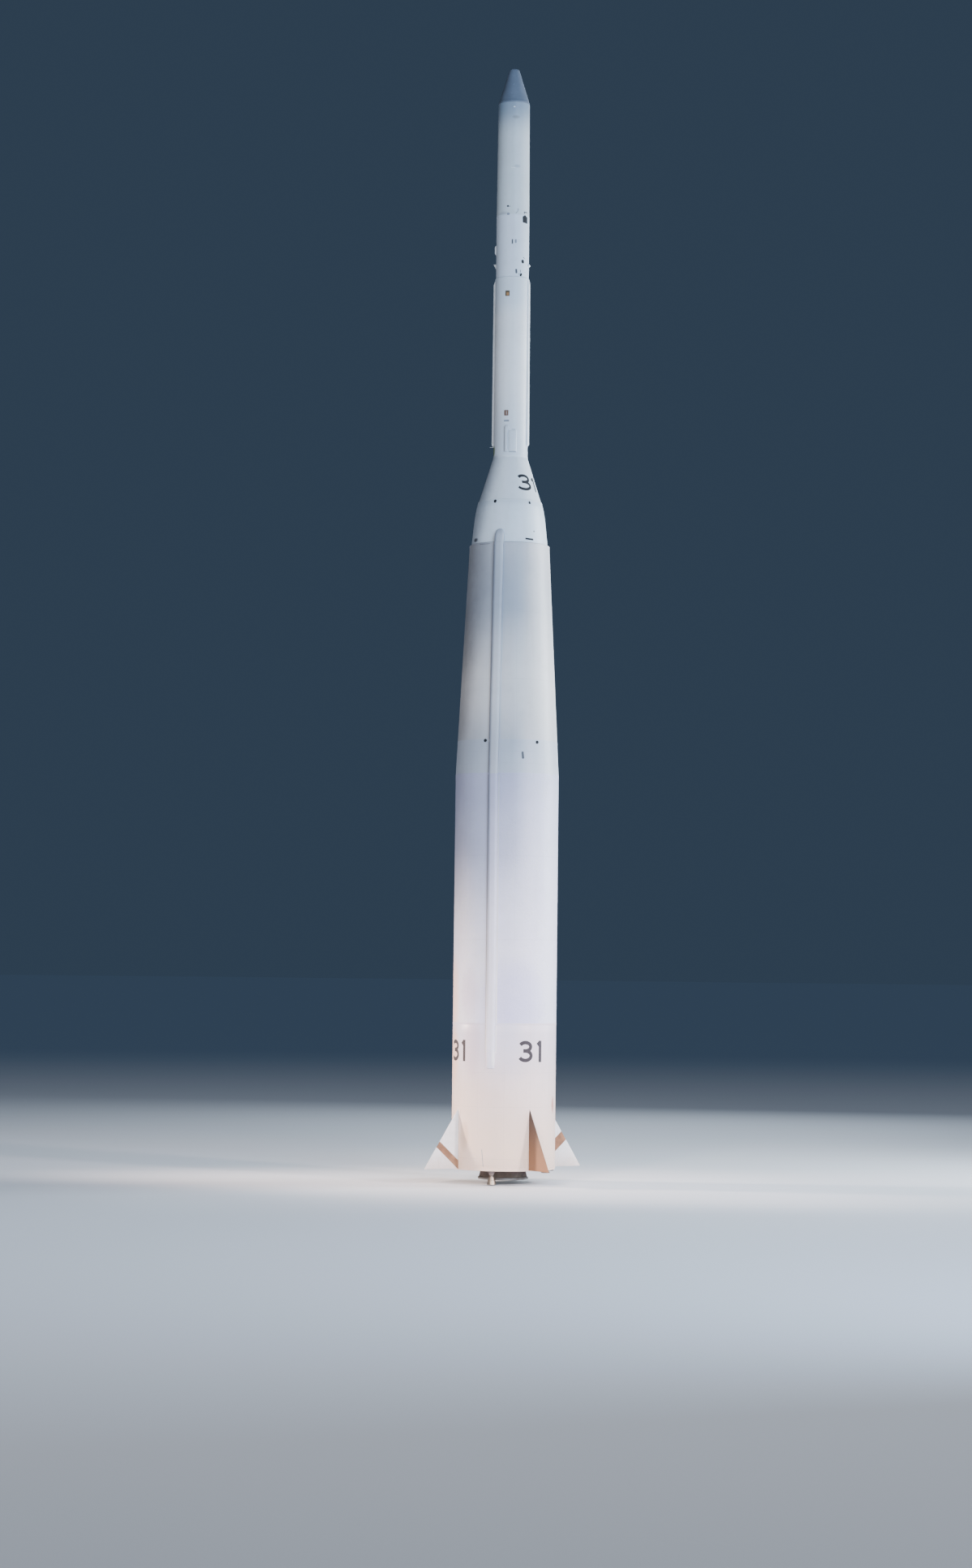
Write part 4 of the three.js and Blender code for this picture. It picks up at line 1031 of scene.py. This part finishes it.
LOWER_NUMBER = (2.80, 0.33, 0.50, 0.085, 0.400)
ADAPTER_NUMBER = (16.215, 0.36, 0.400, 0.064, 0.350, 0.055)
piece("lower_numbers", [s for a in (48.8, 131.2, 228.8, 315.4) for s in number(a, *LOWER_NUMBER)], "worn")
piece("adapter_numbers", [s for a in (65.8, 245.8) for s in number(a, *ADAPTER_NUMBER)], "mark")

# Engine section: skin with stringers and frames inside, base ring, pads
SKIN_IN = 1.200
SKIN_LOW = RING_HIGH + 0.0005
skin = [(SKIN_IN, SKIN_LOW), (BODY_R - 0.002, SKIN_LOW), (BODY_R, SKIN_LOW + 0.0035)]
skin += [(BODY_R, z) for z in np.linspace(0.4, 3.2, 9)]
skin += [(BODY_R, ENGINE_TOP - 0.004), (BODY_R - 0.002, ENGINE_TOP - 0.0005), (SKIN_IN, ENGINE_TOP - 0.0005)]
piece("engine_section_skin", lathe(skin, BODY_SIDES), "engine", "engine_section")

# A stringer's section: across, and out from the skin's inside
HAT = np.array([(-0.018, 0.001), (0.018, 0.001), (0.018, -0.026), (0.0145, -0.026), (0.0145, -0.003),
                (-0.0145, -0.003), (-0.0145, -0.026), (-0.018, -0.026)])
BAY_AZIMUTHS = np.arange(0.0, 360.0, 7.5) + 3.75
HAT_LOW, HAT_HIGH = 0.122, 0.86
stringers = [loft([turned(azimuth, SKIN_IN + HAT[:, 1], HAT[:, 0], z) for z in (HAT_LOW, HAT_HIGH)])
             for azimuth in BAY_AZIMUTHS]
piece("skirt_stringers", stringers, "bay")
# A frame's section: out from the skin's inside, and up
FRAME = [(0.001, -0.005), (-0.045, -0.005), (-0.045, -0.02), (-0.050, -0.02), (-0.050, 0.005), (0.001, 0.005)]
hoops = [lathe(np.add(FRAME, (SKIN_IN, z)), PART_SIDES) for z in (0.624, 0.846)]
piece("skirt_frames", hoops, "bay")

RING_IN, GROOVE_R = 1.14, BODY_R - 0.006
ring = [(RING_IN + 0.002, RING_LOW), (BODY_R - 0.004, RING_LOW), (BODY_R, RING_LOW + 0.004), (BODY_R, 0.05),
        (GROOVE_R, 0.056), (GROOVE_R, 0.094), (BODY_R, 0.1), (BODY_R, RING_HIGH - 0.001),
        (RING_IN + 0.002, RING_HIGH - 0.001), (RING_IN, RING_HIGH - 0.004), (RING_IN, RING_LOW + 0.004)]
piece("base_ring_turned", lathe(ring, BODY_SIDES), "engine", "base_ring")
piece("base_ring_bolts", heads(BOLT_HEAD, 0.011, 0.012, BAY_AZIMUTHS, 0.075), "engine")

# The pads' heights and scales, from the lower face up
PAD_R = 1.18
PAD_ROWS = ((0.0, 0.985), (0.0015, 1.0), (0.0182, 1.0), (0.0196, 0.985))
pad = oblong(0.16, 0.07, 0.012, step=0.05)
for name, azimuth in (("front", 0.0), ("right", 90.0), ("back", 180.0), ("left", 270.0)):
    block = loft([turned(azimuth, PAD_R + pad[:, 1] * s, pad[:, 0] * s, z) for z, s in PAD_ROWS])
    piece(f"launch_pad_{name}_block", block, "dark_steel", f"launch_pad_{name}")

# Main engine: a bell and chamber walled with upright tubes, ringed by bands
THROAT_Z, THROAT_R, EXIT_Z, EXIT_R = 1.0, 0.225, -0.22, 0.58
CHAMBER_R, CHAMBER_TOP, ENGINE_WALL = 0.27, 1.90, 0.022
TUBES = 120
NECK_LOW, NECK_TALL = 0.03, 0.17
TUBE_DEPTH = 0.006
EAR_R, EAR_Z = 0.055, 2.155


def bell_r(height):
    """Outer radius of chamber and bell: r = throat + (exit - throat) t^0.78 below the throat, t from 0 there
    to 1 at the exit, and a smooth step u^2 (3 - 2 u) up to the chamber above it."""
    t = np.clip((THROAT_Z - height) / (THROAT_Z - EXIT_Z), 0.0, 1.0)
    u = np.clip((height - THROAT_Z - NECK_LOW) / NECK_TALL, 0.0, 1.0)
    return THROAT_R + (EXIT_R - THROAT_R) * t ** 0.78 + (CHAMBER_R - THROAT_R) * u * u * (3.0 - 2.0 * u)


def tube_ripple(a, r, h):
    """Rounded tubes side by side below the chamber's dome: d (|sin(n a / 2)| - 1), where d is a quarter of
    a tube's width, up to a limit."""
    depth = np.minimum(r * math.pi / TUBES * 0.5, TUBE_DEPTH)
    return depth * (np.abs(np.sin(a * TUBES / 2.0)) - 1.0) * (h < CHAMBER_TOP - 0.08) * (r > 0.03)


# The ears that take the gimbal's pin: an upright with a round top, its outer faces drawn in
ear_t = np.linspace(0.0, math.pi, 11)
ear = np.concatenate([[(EAR_R, CHAMBER_TOP - 0.02)],
                      np.stack([EAR_R * np.cos(ear_t), EAR_Z + EAR_R * np.sin(ear_t)], axis=1),
                      [(-EAR_R, CHAMBER_TOP - 0.02)]])
EAR_ROWS = ((0.075, 0.96), (0.078, 1.0), (0.122, 1.0), (0.125, 0.96))
ears = [carried(ear, AXIS_Y, [(sign * way, s) for way, s in EAR_ROWS]) for sign in (-1.0, 1.0)]

above_throat = THROAT_Z + np.array([0.03, 0.07, 0.11, 0.15, 0.2, 0.4, 0.7])
levels = np.concatenate([np.linspace(EXIT_Z, THROAT_Z, 26), above_throat, [CHAMBER_TOP - 0.09]])
inner_levels = np.concatenate([levels[:-1], [CHAMBER_TOP - 0.1]])[::-1]
chamber = np.concatenate([
    [(0.0, CHAMBER_TOP - 0.06), (0.2, CHAMBER_TOP - 0.06)],
    np.stack([bell_r(inner_levels) - ENGINE_WALL, inner_levels], axis=1),
    np.stack([bell_r(levels), levels], axis=1),
    [(CHAMBER_R + 0.006, CHAMBER_TOP - 0.085), (CHAMBER_R + 0.006, CHAMBER_TOP - 0.02),
     (CHAMBER_R - 0.004, CHAMBER_TOP), (0.15, CHAMBER_TOP + 0.002), (0.0, CHAMBER_TOP + 0.002)],
])
piece("main_engine_chamber", [lathe(chamber, TUBES * 6, ripple=tube_ripple), *ears], "tubes", "main_engine",
      "main_engine", crease=50.0)

# Bands of the bell and chamber: height, half height, thickness
ENGINE_BANDS = [(-0.19, 0.022, 0.020), *((z, 0.012, 0.010) for z in (-0.02, 0.16, 0.34, 0.52, 0.70)),
                (0.86, 0.014, 0.012), (1.22, 0.016, 0.014), (1.42, 0.012, 0.012), (1.62, 0.012, 0.012),
                (1.80, 0.02, 0.018)]
bands = []
for z, half, thick in ENGINE_BANDS:
    rise = np.array([-0.006, thick * 0.8, thick, thick, thick * 0.8, -0.006])
    edges = z + half * np.array([-1.0, -1.0, 0.0, 0.0, 1.0, 1.0])
    heights = z + half * np.array([-1.0, -1.0, -0.6, 0.6, 1.0, 1.0])
    bands.append(lathe(np.stack([bell_r(edges) + rise, heights], axis=1), PART_SIDES))
# The ring pipe and the upright feed pipes lie this far out from the bell
PIPES_OUT, LINE_R, MANIFOLD_Z, MANIFOLD_TUBE = 0.028, 0.014, 0.08, 0.030
bands.append(lathe(circle(20, MANIFOLD_TUBE) + (bell_r(MANIFOLD_Z) + PIPES_OUT, MANIFOLD_Z), PART_SIDES))
piece("main_engine_bands", bands, "steel", body="main_engine")

line_z = np.linspace(0.10, 1.78, 40)
line_r = bell_r(line_z) + PIPES_OUT + LINE_R * np.sin(np.linspace(0.0, math.pi, 40))
piece("main_engine_lines", [pipe(turned(azimuth, line_r, 0.0, line_z), LINE_R, 12)
                            for azimuth in (0.0, 90.0, 180.0, 270.0)], "steel", body="main_engine")

# Verniers: small bells with a rolled lip, on a pin, the section as (radius, height) from inside to outside
VERNIER_AT, VERNIER_PIVOT, VERNIER_PIN = 1.02, 0.23, 0.016
VERNIER = [
    (0.0, 0.15), (0.052, 0.148), (0.052, -0.045), (0.038, -0.088), (0.055, -0.13), (0.076, -0.19),
    (0.092, -0.25), (0.101, -0.30),
    (0.108, -0.30), (0.108, -0.292), (0.1055, -0.285), (0.099, -0.25), (0.084, -0.19), (0.063, -0.13),
    (0.046, -0.09), (0.049, -0.076), (0.058, -0.058), (0.062, -0.045), (0.062, 0.16), (0.056, 0.168),
    (0.034, 0.184), (0.03, 0.19), (0.03, 0.25), (0.024, 0.256), (0.0, 0.256)]
# Its hoops as radius, height, half height; its feed pipes as reach to the side and height
VERNIER_HOOPS = [(0.062, -0.03, 0.008), (0.062, 0.06, 0.008), (0.062, 0.145, 0.008), (0.0865, -0.2, 0.006)]
VERNIER_PIN_ROWS = ((-0.075, 0.85), (-0.072, 1.0), (0.072, 1.0), (0.075, 0.85))
VERNIER_FEED = [(0.075, -0.02), (0.082, 0.03), (0.082, 0.12), (0.07, 0.16), (0.04, 0.185)]
for side, sign in (("front", -1.0), ("back", 1.0)):
    at = (0.0, AXIS_Y + sign * VERNIER_AT)
    pin = carried(circle(32, VERNIER_PIN) + (0.0, VERNIER_PIVOT), at[1], VERNIER_PIN_ROWS)
    shapes = [lathe(VERNIER, 96, centre=at), pin]
    shapes += [hoop(r, z, half, 0.007, at, 96) for r, z, half in VERNIER_HOOPS]
    for hand in (1.0, -1.0):
        feed = spread([(hand * x, at[1], z) for x, z in VERNIER_FEED], 0.02)
        shapes.append(pipe(feed, 0.008, 10))
    piece(f"vernier_{side}_chamber", shapes, "tubes", f"vernier_engine_{side}", f"vernier_{side}")

# Heat shield with spokes and rings under it, but no spoke at the exhaust duct's azimuth
SHIELD_LOW = 0.88
SPOKE = np.array([(-1.0, 0.0005), (1.0, 0.0005), (1.0, -0.022), (0.5, -0.026), (-0.5, -0.026),
                  (-1.0, -0.022)])
SPOKE_ROWS = ((0.60, 0.006), (0.62, 0.009), (1.13, 0.009), (1.15, 0.006))
RIM_RIB = ((-0.011, 0.0005), (-0.011, -0.02), (-0.008, -0.024), (0.008, -0.024), (0.011, -0.02),
           (0.011, 0.0005))
MIDDLE_RIB = ((-0.006, 0.0005), (-0.006, -0.012), (0.006, -0.012), (0.006, 0.0005))
ribs = [loft([turned(azimuth, r, SPOKE[:, 0] * w, SHIELD_LOW + SPOKE[:, 1]) for r, w in SPOKE_ROWS])
        for azimuth in np.arange(0.0, 360.0, 30.0) if azimuth != 90.0]
for r, section in ((0.575, RIM_RIB), (0.86, MIDDLE_RIB), (1.165, RIM_RIB)):
    ribs.append(lathe(np.add(section, (r, SHIELD_LOW)), PART_SIDES))
piece("heat_shield_ribs", ribs, "dark_steel")

# Exhaust duct: an end flange, a wall flange and bellows, as height, half height, thickness
DUCT_AT, DUCT_R = (1.03, AXIS_Y), 0.085
DUCT_HOOPS = [(-0.045, 0.012, 0.018), (0.55, 0.01, 0.02), (0.74, 0.01, 0.02),
              *((z, 0.006, 0.008) for z in (0.60, 0.63, 0.66, 0.69))]
piece("exhaust_duct_ribs", [hoop(DUCT_R, *row, DUCT_AT, 72) for row in DUCT_HOOPS], "steel")

# The plain inner parts that stay as they are get their finishes
KEPT = {"heat_shield": "dark_steel", "exhaust_duct": "dark_steel", "gimbal_cross": "steel",
        "thrust_frame": "bay", "turbopump_block": "steel", "vernier_bracket_front": "dark_steel",
        "vernier_bracket_back": "dark_steel"}
for node, finish in KEPT.items():
    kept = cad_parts[node].data
    kept.materials.clear()
    kept.materials.append(FINISHES[finish])

# Studio: a pale floor, a plain dark blue backdrop, large soft lights and low warm spots
FLOOR_HEIGHT, FLOOR_R, FLOOR_SIDES = -0.32, 900.0, 96
BACKDROP_BLUE, FAR_BLUE = (0.034, 0.054, 0.086), (0.031, 0.050, 0.080)


def floor_finish():
    """A matte pale surface that takes on the backdrop's blue far away."""
    f = Finish("studio_floor_paint")
    cloud = f.noise(0.08, 2.0, 0.5)
    away = f.x.math("SQRT", f.x * f.x + f.y * f.y).ramp(10.0, 120.0)
    pale = f.mix(cloud * 0.5, (0.60, 0.62, 0.66), (0.57, 0.59, 0.63))
    return f.done(Base_Color=f.mix(away, pale, BACKDROP_BLUE), Roughness=0.9,
                  Emission_Color=f.mix(away, (0.10, 0.105, 0.115), FAR_BLUE), Emission_Strength=1.0)


def studio_floor():
    """A round flat floor under the rocket."""
    azimuths = np.linspace(0.0, 360.0, FLOOR_SIDES, endpoint=False)
    mesh = bpy.data.meshes.new("studio_floor")
    mesh.from_pydata(turned(azimuths, FLOOR_R, 0.0, FLOOR_HEIGHT).tolist(), [], [tuple(range(FLOOR_SIDES))])
    mesh.materials.append(floor_finish())
    placed("studio_floor", mesh)


def light(name, kind, azimuth, elevation, distance, power, colour, height, ahead=0.0):
    """A light of this kind at an azimuth round its aim, turned towards it: the aim is at a height, on the
    rocket's axis or ahead of it; returns its data."""
    a, e = math.radians(azimuth), math.radians(elevation)
    back = Vector((math.sin(a) * math.cos(e), -math.cos(a) * math.cos(e), math.sin(e)))
    data = bpy.data.lights.new(name, kind)
    data.energy, data.color = power, colour
    lamp = placed(name, data)
    lamp.location = Vector(turned(azimuth, ahead, 0.0, height)) + back * distance
    lamp.rotation_mode = "QUATERNION"
    lamp.rotation_quaternion = back.to_track_quat("Z", "Y")
    return data


AREA_LIGHTS = [
    # name, width, height, then azimuth, elevation, distance, power, colour, aim's height and way ahead
    ("front_light", 14.0, 34.0, 40.0, 14.0, 34.0, 12600.0, (0.56, 0.75, 1.0), 13.0),
    ("side_light", 8.0, 18.0, 118.0, 6.0, 20.0, 9200.0, (0.86, 0.94, 1.0), 12.0),
    ("rear_light", 20.0, 30.0, 182.0, 20.0, 36.0, 7000.0, (0.78, 0.90, 1.0), 13.0),
    ("upper_light", 4.0, 6.0, -15.0, 2.0, 8.0, 140.0, (0.88, 0.95, 1.0), 22.3),
    ("middle_light", 6.0, 6.0, -35.0, 2.0, 12.0, 300.0, (1.0, 0.93, 0.88), 9.8),
    ("foreground_light", 60.0, 50.0, CAMERA_AZIMUTH, 90.0, 26.0, 9000.0, (0.92, 0.95, 1.0), FLOOR_HEIGHT,
     45.0),
]
SPOT_LIGHTS = [
    # name, cone, then azimuth, elevation, distance, power, colour, aim's height
    ("low_right_light", 34.0, 65.0, 22.0, 30.0, 40000.0, (1.0, 0.84, 0.84), 1.6),
    ("low_left_light", 26.0, -82.0, 20.0, 30.0, 84000.0, (1.0, 0.77, 0.64), 0.6),
    ("low_front_light", 24.0, 0.0, 22.0, 30.0, 30000.0, (1.0, 0.81, 0.70), 0.5),
]
studio_floor()
for name, width, height, *aimed in AREA_LIGHTS:
    data = light(name, "AREA", *aimed)
    data.shape, data.size, data.size_y = "RECTANGLE", width, height
for name, cone, *aimed in SPOT_LIGHTS:
    data = light(name, "SPOT", *aimed)
    data.spot_size, data.spot_blend, data.shadow_soft_size = math.radians(cone), 1.0, 1.6

world = bpy.data.worlds.new("studio_backdrop")
world.use_nodes = True
world.node_tree.nodes["Background"].inputs["Color"].default_value = (*BACKDROP_BLUE, 1.0)
world.node_tree.nodes["Background"].inputs["Strength"].default_value = 1.0
bpy.context.scene.world = world

low, high = cad_box
